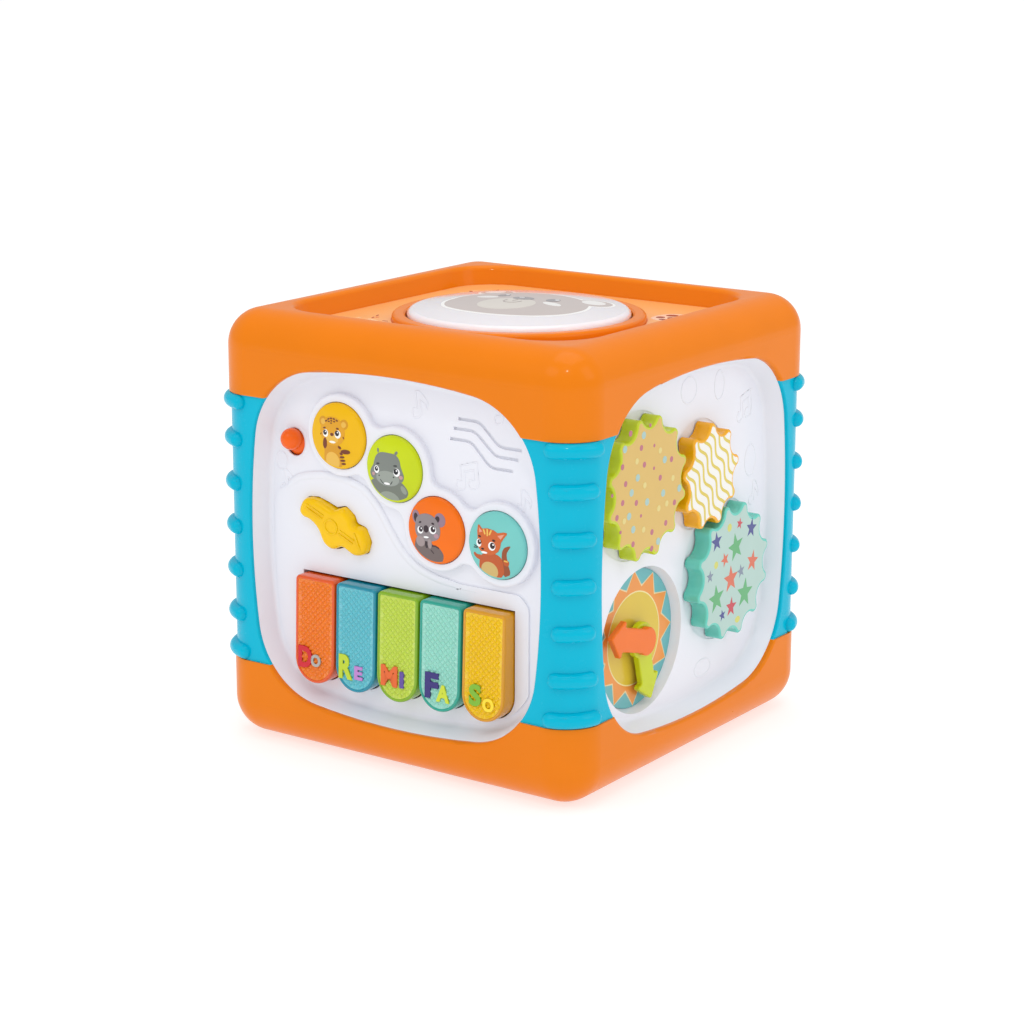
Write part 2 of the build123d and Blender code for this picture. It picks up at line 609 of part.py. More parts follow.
with BuildPart() as drum_plate:
    with BuildSketch(Plane.XY.offset(203.8)):
        Circle(72.0)
        with PolarLocations(67, 4, start_angle=45):
            Circle(1.5, mode=Mode.SUBTRACT)
    extrude(amount=2.2)
drum_plate.part.label = "drum_plate"
export_step(drum_plate.part, "parts/drum_plate.step")

with BuildPart() as drum_light_board:
    with BuildSketch(Plane.XY.offset(206.0)):
        Circle(44.0)
    extrude(amount=1.6)
    with BuildSketch(Plane.XY.offset(207.6)):
        with PolarLocations(30, 6):
            Rectangle(5, 5)
    extrude(amount=1.6)
drum_light_board.part.label = "drum_light_board"
export_step(drum_light_board.part, "parts/drum_light_board.step")

# ---------------------------------------------------------------- animal buttons
for animal, (bx, bz) in BUTTONS.items():
    with BuildPart() as button:
        with BuildSketch(Plane(origin=(bx, -W / 2, bz), x_dir=(1, 0, 0), z_dir=(0, 0, 1))):
            # profile: local x is the radius, local y the depth below the frame face
            with BuildLine():
                crown_arc(6.4, 16.0, 7.8)
                ThreePointArc((16.0, 7.8), (16.9, 8.3), (17.25, 9.2))
                Polyline((17.25, 9.2), (17.25, 16.5), (18.4, 16.5), (18.4, 18.2), (15.4, 18.2), (15.4, 9.8),
                         (3.0, 9.2), (3.0, 19.6), (0, 19.6), (0, 6.4))
            make_face()
        revolve(axis=Axis((bx, -W / 2, bz), (0, 1, 0)))
    button.part.label = "button_" + animal
    export_step(button.part, "parts/button_" + animal + ".step")

# silicone switch pads under the buttons, the guitar and the drum
with BuildPart() as switch_pads:
    with BuildSketch(face_plane("front", 24.0)):
        with Locations(*[loc(*p) for p in BUTTONS.values()]):
            Circle(6.0)
        with Locations(loc(-43.0, 123.0)):
            Circle(5.0)
    extrude(amount=1.4)
    with BuildSketch(Plane.XY.offset(206.0)):
        with PolarLocations(55, 4):
            Circle(4.5)
    extrude(amount=6.6)
switch_pads.part.label = "switch_pads"
export_step(switch_pads.part, "parts/switch_pads.step")

# ---------------------------------------------------------------- piano keys
def front_d(z):
    """Depth of the keys' front face at height z."""
    return 3.3 + (5.4 - 3.3) * (z - KEY_BOTTOM) / (KEY_TOP - KEY_BOTTOM)


KEY_NAMES = ["key_orange", "key_blue", "key_lime", "key_mint", "key_yellow"]
for i, key_name in enumerate(KEY_NAMES):
    kx = KEY_MID_X + KEY_PITCH * (i - 2)
    with BuildPart() as key:
        # outline seen from the front: round lower end, square top with soft corners
        with BuildSketch(face_plane("front", 17.0)):
            with Locations(loc(kx, KEY_BOTTOM + KEY_W / 2)):
                Circle(KEY_W / 2)
            with Locations(loc(kx, (KEY_BOTTOM + KEY_W / 2 + KEY_TOP) / 2)):
                Rectangle(KEY_W, KEY_TOP - KEY_BOTTOM - KEY_W / 2)
        extrude(amount=15.0)
        with BuildSketch(Plane(origin=(kx - KEY_W, 0, 0), x_dir=(0, 1, 0), z_dir=(1, 0, 0))):
            with BuildLine():
                Polyline((-W / 2 + front_d(30), 30), (-W / 2 + front_d(100), 100), (-W / 2 + 18, 100),
                         (-W / 2 + 18, 30), (-W / 2 + front_d(30), 30))
            make_face()
        extrude(amount=2 * KEY_W, mode=Mode.INTERSECT)
        fillet(key.edges().filter_by(Axis.Y).sort_by(Axis.Z)[-2:], 2.5)
        front = key.faces().sort_by(Axis.Y)[0]
        fillet(front.edges(), 1.2)
        # hollow behind the front skin
        with BuildSketch(face_plane("front", 17.5)):
            with Locations(loc(kx, KEY_BOTTOM + KEY_W / 2)):
                Circle(KEY_W / 2 - KEY_SKIN)
            with Locations(loc(kx, (KEY_BOTTOM + KEY_W / 2 + KEY_TOP - KEY_SKIN) / 2)):
                Rectangle(KEY_W - 2 * KEY_SKIN, KEY_TOP - KEY_SKIN - KEY_BOTTOM - KEY_W / 2)
        extrude(amount=17.5 - 5.4 - KEY_SKIN, mode=Mode.SUBTRACT)
        # hinge barrel at the top and stop tab at the bottom
        with Locations(Location(Plane(origin=(kx, -W / 2 + KEY_AXLE_D, KEY_AXLE_Z), x_dir=(0, 1, 0), z_dir=(1, 0, 0)))):
            Cylinder(3.6, KEY_W - 2.0)
        with BuildSketch(face_plane("front", KEY_AXLE_D)):
            with Locations(loc(kx, 92.6)):
                Rectangle(KEY_W - 2.0, 4.0)
        extrude(amount=8.0)
        with Locations(Location(Plane(origin=(kx, -W / 2 + KEY_AXLE_D, KEY_AXLE_Z), x_dir=(0, 1, 0), z_dir=(1, 0, 0)))):
            Cylinder(KEY_AXLE_R + 0.06, KEY_W + 2, mode=Mode.SUBTRACT)
        with BuildSketch(face_plane("front", 18.2)):
            with Locations(loc(kx, 38.0)):
                Rectangle(9.0, 3.8)
        extrude(amount=1.6)
    key.part.label = key_name
    export_step(key.part, "parts/" + key_name + ".step")

with BuildPart() as key_axle:
    with Locations(Location(Plane(origin=(KEY_MID_X, -W / 2 + KEY_AXLE_D, KEY_AXLE_Z), x_dir=(0, 1, 0), z_dir=(1, 0, 0)))):
        Cylinder(KEY_AXLE_R, 4 * KEY_PITCH + KEY_W + 10)
key_axle.part.label = "key_axle"
export_step(key_axle.part, "parts/key_axle.step")

# ---------------------------------------------------------------- guitar button
with BuildPart() as guitar_button:
    with BuildSketch(face_plane("front", 18.0)) as guitar_top:
        with BuildLine():
            Polyline(*[loc(*p) for p in GUITAR], close=True)
        make_face()
        fillet(guitar_top.vertices(), 2.2)
    extrude(amount=10.6)
    fillet(guitar_button.faces().sort_by(Axis.Y)[0].edges(), 1.4)
    with BuildSketch(face_plane("front", 18.0)) as guitar_flange:
        with BuildLine():
            Polyline(*[loc(*p) for p in GUITAR], close=True)
        make_face()
        fillet(guitar_flange.vertices(), 2.2)
        offset(amount=1.6)
    extrude(amount=1.5)
guitar_button.part.label = "guitar_button"
export_step(guitar_button.part, "parts/guitar_button.step")

# ---------------------------------------------------------------- mode lever
LEVER_PIVOT_D = 22.0
LEVER_BALL = (-70.7, 165.5, 10.5)        # x, z, depth
LEVER_BALL_R = 5.75
with BuildPart() as mode_lever:
    tilt = math.degrees(math.atan2(LEVER_BALL[1] - LEVER[1], LEVER_PIVOT_D - LEVER_BALL[2]))
    axis_dir = (0, -math.cos(math.radians(tilt)), math.sin(math.radians(tilt)))
    reach = math.hypot(LEVER_BALL[1] - LEVER[1], LEVER_PIVOT_D - LEVER_BALL[2])
    with BuildSketch(Plane(origin=(LEVER[0], -W / 2 + LEVER_PIVOT_D, LEVER[1]), x_dir=(1, 0, 0),
                           z_dir=(0, -axis_dir[2], axis_dir[1]))):
        with BuildLine():
            Polyline((0, 3.6), (2.6, 3.6), (5.6, 3.4), (5.6, 4.4), (3.2, reach - 2.0), (0, reach - 2.0), (0, 3.6))
        make_face()
    revolve(axis=Axis((LEVER[0], -W / 2 + LEVER_PIVOT_D, LEVER[1]), axis_dir))
    with Locations((LEVER[0], -W / 2 + LEVER_BALL[2], LEVER_BALL[1])):
        Sphere(LEVER_BALL_R)
    with Locations(Location(Plane(origin=(LEVER[0], -W / 2 + LEVER_PIVOT_D, LEVER[1]), x_dir=(0, 1, 0), z_dir=(1, 0, 0)))):
        Cylinder(3.8, 9.0)
        Cylinder(1.5 + 0.06, 12.0, mode=Mode.SUBTRACT)
mode_lever.part.label = "mode_lever"
export_step(mode_lever.part, "parts/mode_lever.step")

with BuildPart() as lever_pin:
    with Locations(Location(Plane(origin=(LEVER[0], -W / 2 + LEVER_PIVOT_D, LEVER[1]), x_dir=(0, 1, 0), z_dir=(1, 0, 0)))):
        Cylinder(1.5, 16.0)
lever_pin.part.label = "lever_pin"
export_step(lever_pin.part, "parts/lever_pin.step")

with BuildPart() as lever_switch:
    with BuildSketch(face_plane("front", 16.1)):
        with Locations(loc(LEVER[0] - 7.5, LEVER[1]), loc(LEVER[0] + 7.5, LEVER[1])):
            Rectangle(2.4, 12.0)
    extrude(amount=-12.0)
    with BuildSketch(face_plane("front", 28.1)):
        with Locations(loc(*LEVER)):
            Rectangle(17.4, 12.0)
    extrude(amount=-4.0)
    with Locations(Location(Plane(origin=(LEVER[0], -W / 2 + LEVER_PIVOT_D, LEVER[1]), x_dir=(0, 1, 0), z_dir=(1, 0, 0)))):
        Cylinder(1.5, 20.0, mode=Mode.SUBTRACT)
lever_switch.part.label = "lever_switch"
export_step(lever_switch.part, "parts/lever_switch.step")

# ---------------------------------------------------------------- speaker and boards
SPEAKER = (50.7, 177.5)
with BuildPart() as speaker:
    with BuildSketch(Plane(origin=(SPEAKER[0], -W / 2, SPEAKER[1]), x_dir=(1, 0, 0), z_dir=(0, 0, 1))):
        with BuildLine():
            Polyline((0, 19.4), (6, 19.4), (15.5, 17.2), (17.0, 16.2), (20.0, 16.2), (20.0, 18.0), (17.5, 18.6),
                     (12.0, 22.5), (12.0, 28.0), (0, 28.0), (0, 19.4))
        make_face()
    revolve(axis=Axis((SPEAKER[0], -W / 2, SPEAKER[1]), (0, 1, 0)))
speaker.part.label = "speaker"
export_step(speaker.part, "parts/speaker.step")

with BuildPart() as main_board:
    with BuildSketch(face_plane("front", 25.6)):
        with BuildLine():
            Polyline(loc(-80, 99.5), loc(76, 99.5), loc(76, 150), loc(24, 150), loc(24, 190), loc(-62, 190),
                     loc(-62, 187), loc(-80, 187), loc(-80, 99.5))
        make_face()
        with Locations(loc(LEVER[0], LEVER[1])):
            Rectangle(22, 24, mode=Mode.SUBTRACT)
        with Locations(*[loc(*p) for p in BOARD_POSTS]):
            Circle(1.3, mode=Mode.SUBTRACT)
    extrude(amount=1.6)
    # sound chip and a row of driver parts on the back
    with BuildSketch(face_plane("front", 25.6)):
        with Locations(loc(-20, 118)):
            Rectangle(14, 14)
        with Locations(loc(10, 112), loc(22, 112), loc(34, 112)):
            Rectangle(6, 4)
    extrude(amount=-2.0)
main_board.part.label = "main_board"
export_step(main_board.part, "parts/main_board.step")

with BuildPart() as key_board:
    with BuildSketch(face_plane("front", 25.6)):
        with Locations(loc(KEY_MID_X, 58.0)):
            Rectangle(156, 22)
        with Locations(*[loc(*p) for p in KEY_BOARD_POSTS]):
            Circle(1.3, mode=Mode.SUBTRACT)
    extrude(amount=1.6)
key_board.part.label = "key_board"
export_step(key_board.part, "parts/key_board.step")

with BuildPart() as leds:
    with BuildSketch(face_plane("front", 24.0)):
        for i in range(5):
            with Locations(loc(KEY_MID_X + KEY_PITCH * (i - 2), 62.0)):
                Circle(2.5)
        with Locations(loc(-30.0, 120.0)):
            Circle(2.0)
    extrude(amount=3.4)
leds.part.label = "leds"
export_step(leds.part, "parts/leds.step")

# small screws: boards and drum plate
with BuildPart() as board_screws:
    for px, pz in BOARD_POSTS + KEY_BOARD_POSTS:
        with BuildSketch(face_plane("front", 25.6)):
            with Locations(loc(px, pz)):
                Circle(2.4)
        extrude(amount=-1.6)
        with BuildSketch(face_plane("front", 25.6)):
            with Locations(loc(px, pz)):
                Circle(1.1)
        extrude(amount=7.0)
    with BuildSketch(Plane.XY.offset(202.2)):
        with PolarLocations(67, 4, start_angle=45):
            Circle(2.4)
    extrude(amount=1.6)
    with BuildSketch(Plane.XY.offset(203.0)):
        with PolarLocations(67, 4, start_angle=45):
            Circle(1.2)
    extrude(amount=12.0)
board_screws.part.label = "board_screws"
export_step(board_screws.part, "parts/board_screws.step")

# ---------------------------------------------------------------- gears and clock
for gear_name, (gy, gz, teeth, tip, root, phase) in GEARS.items():
    with BuildPart() as gear:
        with BuildSketch(face_plane("right", GEAR_BACK_D)):
            with Locations(loc(gy, gz)):
                with BuildLine(mode=Mode.PRIVATE) as outline:
                    gear_lines(teeth, tip, root, phase)
                add(make_face(outline.edges(), mode=Mode.PRIVATE))
        extrude(amount=GEAR_BACK_D - GEAR_FRONT_D)
        fillet(gear.faces().sort_by(Axis.X)[-1].edges(), 1.0)
        # hollow back with a centre hub
        with BuildSketch(face_plane("right", GEAR_BACK_D)):
            with Locations(loc(gy, gz)):
                Circle(root - 2.5)
                Circle(6.5, mode=Mode.SUBTRACT)
        extrude(amount=GEAR_BACK_D - GEAR_FRONT_D - 2.4, mode=Mode.SUBTRACT)
        with BuildSketch(face_plane("right", GEAR_BACK_D)):
            with Locations(loc(gy, gz)):
                Circle(GEAR_AXLE_R)
        extrude(amount=6.0, mode=Mode.SUBTRACT)
    gear.part.label = "gear_" + gear_name
    export_step(gear.part, "parts/gear_" + gear_name + ".step")

    with BuildPart() as gear_axle:
        with BuildSketch(face_plane("right", 22.2)):
            with Locations(loc(gy, gz)):
                Circle(6.0)
        extrude(amount=1.8)
        with BuildSketch(face_plane("right", 21.0)):
            with Locations(loc(gy, gz)):
                Circle(GEAR_AXLE_R)
        extrude(amount=21.0 - GEAR_BACK_D + 6.0)
    gear_axle.part.label = "gear_axle_" + gear_name
    export_step(gear_axle.part, "parts/gear_axle_" + gear_name + ".step")

with BuildPart() as clock_face:
    with BuildSketch(face_plane("right", CLOCK_D + 0.8)):
        with Locations(loc(*CLOCK)):
            Circle(CLOCK_FLOOR_R - 0.1)
            Circle(3.5, mode=Mode.SUBTRACT)
    extrude(amount=0.8)
clock_face.part.label = "clock_face"
export_step(clock_face.part, "parts/clock_face.step")

# fixed clock spindle: foot behind the panel, cap over the upper hand
with BuildPart() as clock_spindle:
    with BuildSketch(face_plane("right", 23.0)):
        with Locations(loc(*CLOCK)):
            Circle(5.0)
    extrude(amount=1.5)
    with BuildSketch(face_plane("right", 22.0)):
        with Locations(loc(*CLOCK)):
            Circle(2.5)
    extrude(amount=22.0 - 11.0)
clock_spindle.part.label = "clock_spindle"
export_step(clock_spindle.part, "parts/clock_spindle.step")


def arrow_lines(length, hub, shaft, head_w, head_l):
    """Chunky arrow along local +x with a round hub at the origin."""
    h = math.sqrt(hub * hub - (shaft / 2) ** 2)
    Polyline((h, shaft / 2), (length - head_l, shaft / 2), (length - head_l, head_w / 2),
             (length, 0), (length - head_l, -head_w / 2), (length - head_l, -shaft / 2), (h, -shaft / 2))
    ThreePointArc((h, -shaft / 2), (-hub, 0), (h, shaft / 2))


# angle, length, hub radius, shaft width, head width, head length, depth of back and front faces
HANDS = {"hour_hand": (164.6, 36.0, 7.5, 12.6, 22.0, 12.0, 12.1, 9.1),
         "minute_hand": (-75.0, 35.0, 9.5, 12.0, 22.0, 12.0, 15.8, 12.6)}
for hand_name, (ang, length, hub, shaft, head_w, head_l, d_back, d_front) in HANDS.items():
    base = face_plane("right", d_back)
    c, s = math.cos(math.radians(ang)), math.sin(math.radians(ang))
    with BuildPart() as hand:
        with BuildSketch(Plane(origin=(base.origin.X, CLOCK[0], CLOCK[1]), x_dir=(0, c, s), z_dir=(1, 0, 0))) as arrow:
            with BuildLine():
                arrow_lines(length, hub, shaft, head_w, head_l)
            make_face()
            fillet(arrow.vertices().filter_by(lambda v: Vector(v).length > hub + 3), 1.2)
        extrude(amount=d_back - d_front)
        fillet(hand.faces().sort_by(Axis.X)[-1].edges(), 0.8)
        with BuildSketch(face_plane("right", d_back + 1)):
            with Locations(loc(*CLOCK)):
                Circle(2.56)
        extrude(amount=2.6 if hand_name == "hour_hand" else 10.0, mode=Mode.SUBTRACT)
    hand.part.label = hand_name
    export_step(hand.part, "parts/" + hand_name + ".step")

# ---------------------------------------------------------------- back and left activities
with BuildPart() as spinner_disc:
    with BuildSketch(face_plane("back", GEAR_BACK_D)):
        with Locations(loc(*SPIN)):
            Circle(SPIN_R)
    extrude(amount=GEAR_BACK_D - 6.5)
    fillet(spinner_disc.faces().sort_by(Axis.Y)[-1].edges(), 1.6)
    with BuildSketch(face_plane("back", GEAR_BACK_D)):
        with Locations(loc(*SPIN)):
            with PolarLocations(19.0, 3, start_angle=90):
                Circle(7.5)
    extrude(amount=12.0, mode=Mode.SUBTRACT)
    with BuildSketch(face_plane("back", GEAR_BACK_D)):
        with Locations(loc(*SPIN)):
            Circle(GEAR_AXLE_R)
    extrude(amount=5.0, mode=Mode.SUBTRACT)
spinner_disc.part.label = "spinner_disc"
export_step(spinner_disc.part, "parts/spinner_disc.step")

with BuildPart() as spinner_axle:
    with BuildSketch(face_plane("back", 22.2)):
        with Locations(loc(*SPIN)):
            Circle(6.0)
    extrude(amount=1.8)
    with BuildSketch(face_plane("back", 21.0)):
        with Locations(loc(*SPIN)):
            Circle(GEAR_AXLE_R)
    extrude(amount=21.0 - GEAR_BACK_D + 5.0)
spinner_axle.part.label = "spinner_axle"
export_step(spinner_axle.part, "parts/spinner_axle.step")

# slider: round grip in front, neck through the slot, keeper washer behind
with BuildPart() as slider_knob:
    with BuildSketch(Plane(origin=(0, W / 2, TRACK_C[1] - TRACK_R), x_dir=(1, 0, 0), z_dir=(0, 0, 1))):
        with BuildLine():
            Polyline((0, -3.0), (0, -18.4), (7.5, -18.4), (7.5, -16.6), (3.6, -16.6), (3.6, -11.0), (9.5, -11.0), (10.5, -10.0))
            crown_arc(-3.0, 10.5, -10.0)
        make_face()
    revolve(axis=Axis((0, W / 2, TRACK_C[1] - TRACK_R), (0, 1, 0)))
slider_knob.part.label = "slider_knob"
export_step(slider_knob.part, "parts/slider_knob.step")

with BuildPart() as mirror:
    with BuildSketch(face_plane("left", FLOOR_D + 0.8)):
        with Locations(loc(*MIRROR)):
            Circle(MIRROR_R)
    extrude(amount=1.2)
mirror.part.label = "mirror"
export_step(mirror.part, "parts/mirror.step")

with BuildPart() as mirror_ring:
    with BuildSketch(face_plane("left", FLOOR_D)):
        with Locations(loc(*MIRROR)):
            Circle(MIRROR_R + 5.0)
            Circle(MIRROR_R + 0.3, mode=Mode.SUBTRACT)
    extrude(amount=3.0)
    fillet(mirror_ring.faces().sort_by(Axis.X)[0].edges(), 1.2)
mirror_ring.part.label = "mirror_ring"
export_step(mirror_ring.part, "parts/mirror_ring.step")

with BuildPart() as roller:
    with Locations(Location(Plane(origin=(-W / 2 + ROLLER_D, 0, ROLLER_Z), x_dir=(1, 0, 0), z_dir=(0, 1, 0)))):
        Cylinder(ROLLER_R - 2.2, ROLLER_LEN)
        with PolarLocations(ROLLER_R - 2.4, 12):
            Cylinder(2.4, ROLLER_LEN)
    with Locations(Location(Plane(origin=(-W / 2 + ROLLER_D, 0, ROLLER_Z), x_dir=(1, 0, 0), z_dir=(0, 1, 0)))):
        Cylinder(2.06, ROLLER_LEN + 2, mode=Mode.SUBTRACT)
roller.part.label = "roller"
export_step(roller.part, "parts/roller.step")

with BuildPart() as roller_axle:
    with Locations(Location(Plane(origin=(-W / 2 + ROLLER_D, 0, ROLLER_Z), x_dir=(1, 0, 0), z_dir=(0, 1, 0)))):
        Cylinder(2.0, ROLLER_LEN + 7.0)
roller_axle.part.label = "roller_axle"
export_step(roller_axle.part, "parts/roller_axle.step")

# ---------------------------------------------------------------- battery bay and switch
with BuildPart() as battery_box:
    with BuildSketch(Plane.XY.offset(SHELL)):
        with Locations((0, 5)):
            RectangleRounded(70, 92, 4)
    extrude(amount=2.0)
    with BuildSketch(Plane.XY.offset(SHELL)):
        with Locations((0, 0)):
            Rectangle(58, 66)
    extrude(amount=19.0)
    with BuildSketch(Plane.XY.offset(SHELL)):
        with Locations((0, 0)):
            Rectangle(54, 62)
    extrude(amount=17.0, mode=Mode.SUBTRACT)
    with BuildSketch(Plane.XY.offset(SHELL)):
        with Locations((0, 39.5)):
            Circle(3.6)
    extrude(amount=10.0)
    with BuildSketch(Plane.XY.offset(SHELL)):
        with Locations((0, 39.5)):
            Circle(1.3)
    extrude(amount=9.0, mode=Mode.SUBTRACT)
battery_box.part.label = "battery_box"
export_step(battery_box.part, "parts/battery_box.step")

with BuildPart() as battery_cover:
    with BuildSketch(Plane.XY.offset(0.5)):
        with Locations((0, 5)):
            RectangleRounded(59.2, 81.2, 2.6)
    extrude(amount=2.4)
    with BuildSketch(Plane.XY):
        with Locations((0, 39.5)):
            Circle(3.2)
    extrude(amount=2.1, mode=Mode.SUBTRACT)
    with BuildSketch(Plane.XY):
        with Locations((0, 39.5)):
            Circle(1.7)
    extrude(amount=5.0, mode=Mode.SUBTRACT)
battery_cover.part.label = "battery_cover"
export_step(battery_cover.part, "parts/battery_cover.step")

with BuildPart() as battery_cover_screw:
    with BuildSketch(Plane.XY.offset(0.6)):
        with Locations((0, 39.5)):
            Circle(2.9)
    extrude(amount=1.5)
    with BuildSketch(Plane.XY.offset(2.0)):
        with Locations((0, 39.5)):
            Circle(1.3)
    extrude(amount=9.0)
    with BuildSketch(Plane.XY.offset(0.5)):
        with Locations((0, 39.5)):
            Rectangle(3.6, 0.8)
            Rectangle(0.8, 3.6)
    extrude(amount=0.9, mode=Mode.SUBTRACT)
battery_cover_screw.part.label = "battery_cover_screw"
export_step(battery_cover_screw.part, "parts/battery_cover_screw.step")

# three AA cells side by side, the middle one turned round
with BuildPart() as batteries:
    for k, x in enumerate((-17.0, 0.0, 17.0)):
        flip = -1 if k == 1 else 1
        with Locations(Location(Plane(origin=(x, 0, 10.7), x_dir=(1, 0, 0), z_dir=(0, flip, 0)))):
            with Locations((0, 0, -0.75)):
                Cylinder(7.2, 49.0)
            with Locations((0, 0, 24.5)):
                Cylinder(2.7, 1.5)
batteries.part.label = "batteries"
export_step(batteries.part, "parts/batteries.step")

with BuildPart() as battery_contacts:
    for k, x in enumerate((-17.0, 0.0, 17.0)):
        flip = -1 if k == 1 else 1
        with Locations((x, 30.6 * flip, 10.7)):
            Box(11, 0.6, 11)
        with Locations((x, -30.6 * flip, 10.7)):
            Box(11, 0.6, 11)
        with Locations(Location(Plane(origin=(x, -30.2 * flip, 10.7), x_dir=(1, 0, 0), z_dir=(0, flip, 0)))):
            Cone(4.2, 2.0, 4.6, align=(Align.CENTER, Align.CENTER, Align.MIN))
        with Locations(Location(Plane(origin=(x, 30.4 * flip, 10.7), x_dir=(1, 0, 0), z_dir=(0, -flip, 0)))):
            Cone(3.5, 2.4, 4.9, align=(Align.CENTER, Align.CENTER, Align.MIN))
battery_contacts.part.label = "battery_contacts"
export_step(battery_contacts.part, "parts/battery_contacts.step")

SWITCH_X = -62.0
with BuildPart() as power_switch:
    with BuildSketch(Plane.XY.offset(3.3)):
        with Locations((SWITCH_X - 4.0, 0)):
            Rectangle(16, 10)
    extrude(amount=2.0)
    with BuildSketch(Plane.XY.offset(0.7)):
        with Locations((SWITCH_X - 4.0, 0)):
            RectangleRounded(10, 6.2, 1.2)
    extrude(amount=3.0)
    with BuildSketch(Plane.XY.offset(0.7)):
        with Locations((SWITCH_X - 6.5, 0), (SWITCH_X - 4.0, 0), (SWITCH_X - 1.5, 0)):
            Rectangle(0.9, 5.0)
    extrude(amount=0.5, mode=Mode.SUBTRACT)
power_switch.part.label = "power_switch"
export_step(power_switch.part, "parts/power_switch.step")

# ---------------------------------------------------------------- fasteners
with BuildPart() as case_screws:
    for sx in (-1, 1):
        for sy in (-1, 1):
            with BuildSketch(Plane.XY.offset(13.0 - 2.2)):
                with Locations((COLUMN_AT * sx, COLUMN_AT * sy)):
                    Circle(3.0)
            extrude(amount=2.2)
            with BuildSketch(Plane.XY.offset(12.9)):
                with Locations((COLUMN_AT * sx, COLUMN_AT * sy)):
                    Circle(1.5)
            extrude(amount=44.0)
            with BuildSketch(Plane.XY.offset(SEAM_HIGH - 16.0 - 2.2)):
                with Locations((COLUMN_AT * sx, COLUMN_AT * sy)):
                    Circle(3.0)
            extrude(amount=2.2)
            with BuildSketch(Plane.XY.offset(SEAM_HIGH - 16.1)):
                with Locations((COLUMN_AT * sx, COLUMN_AT * sy)):
                    Circle(1.5)
            extrude(amount=34.0)
case_screws.part.label = "case_screws"
export_step(case_screws.part, "parts/case_screws.step")

with BuildPart() as panel_screws:
    for side in ("front", "right", "back", "left"):
        with BuildSketch(face_plane(side, 12.8)):
            with Locations((SCREW_AT, SCREW_AT), (-SCREW_AT, SCREW_AT), (-SCREW_AT, -SCREW_AT), (SCREW_AT, -SCREW_AT)):
                Circle(2.8)
        extrude(amount=1.8)
        with BuildSketch(face_plane(side, 11.1)):
            with Locations((SCREW_AT, SCREW_AT), (-SCREW_AT, SCREW_AT), (-SCREW_AT, -SCREW_AT), (SCREW_AT, -SCREW_AT)):
                Circle(1.3)
        extrude(amount=6.6)
panel_screws.part.label = "panel_screws"
export_step(panel_screws.part, "parts/panel_screws.step")
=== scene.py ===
import json
import math

import bmesh
import bpy
import numpy as np
from mathutils import Matrix, Vector
from mathutils.geometry import delaunay_2d_cdt

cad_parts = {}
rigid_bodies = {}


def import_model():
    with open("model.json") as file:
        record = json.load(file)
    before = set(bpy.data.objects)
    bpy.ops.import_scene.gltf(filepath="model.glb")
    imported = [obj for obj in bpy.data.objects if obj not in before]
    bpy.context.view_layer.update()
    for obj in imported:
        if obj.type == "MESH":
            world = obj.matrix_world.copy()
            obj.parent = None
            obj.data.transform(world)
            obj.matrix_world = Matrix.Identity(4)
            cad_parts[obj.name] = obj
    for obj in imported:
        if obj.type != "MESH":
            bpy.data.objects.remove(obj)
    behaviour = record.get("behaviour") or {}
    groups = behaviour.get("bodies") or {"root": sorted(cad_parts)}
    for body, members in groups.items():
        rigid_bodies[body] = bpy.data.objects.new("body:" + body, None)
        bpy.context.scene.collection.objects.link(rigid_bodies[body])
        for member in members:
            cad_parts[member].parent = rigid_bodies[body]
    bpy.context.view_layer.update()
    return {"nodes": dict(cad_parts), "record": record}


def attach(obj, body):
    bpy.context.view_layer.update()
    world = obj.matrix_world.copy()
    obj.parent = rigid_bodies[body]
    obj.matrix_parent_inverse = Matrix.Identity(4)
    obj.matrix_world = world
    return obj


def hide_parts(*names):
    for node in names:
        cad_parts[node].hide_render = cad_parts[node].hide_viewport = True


for left_over in list(bpy.data.objects):
    bpy.data.objects.remove(left_over)

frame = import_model()
NODES = frame["nodes"]
MM = 0.001


# ------------------------------------------------------------------ colours
def lin(c):
    c = c / 255.0
    return c / 12.92 if c <= 0.04045 else ((c + 0.055) / 1.055) ** 2.4


def rgba(rgb, gain=1.0):
    return tuple(min(1.0, lin(c) * gain) for c in rgb) + (1.0,)


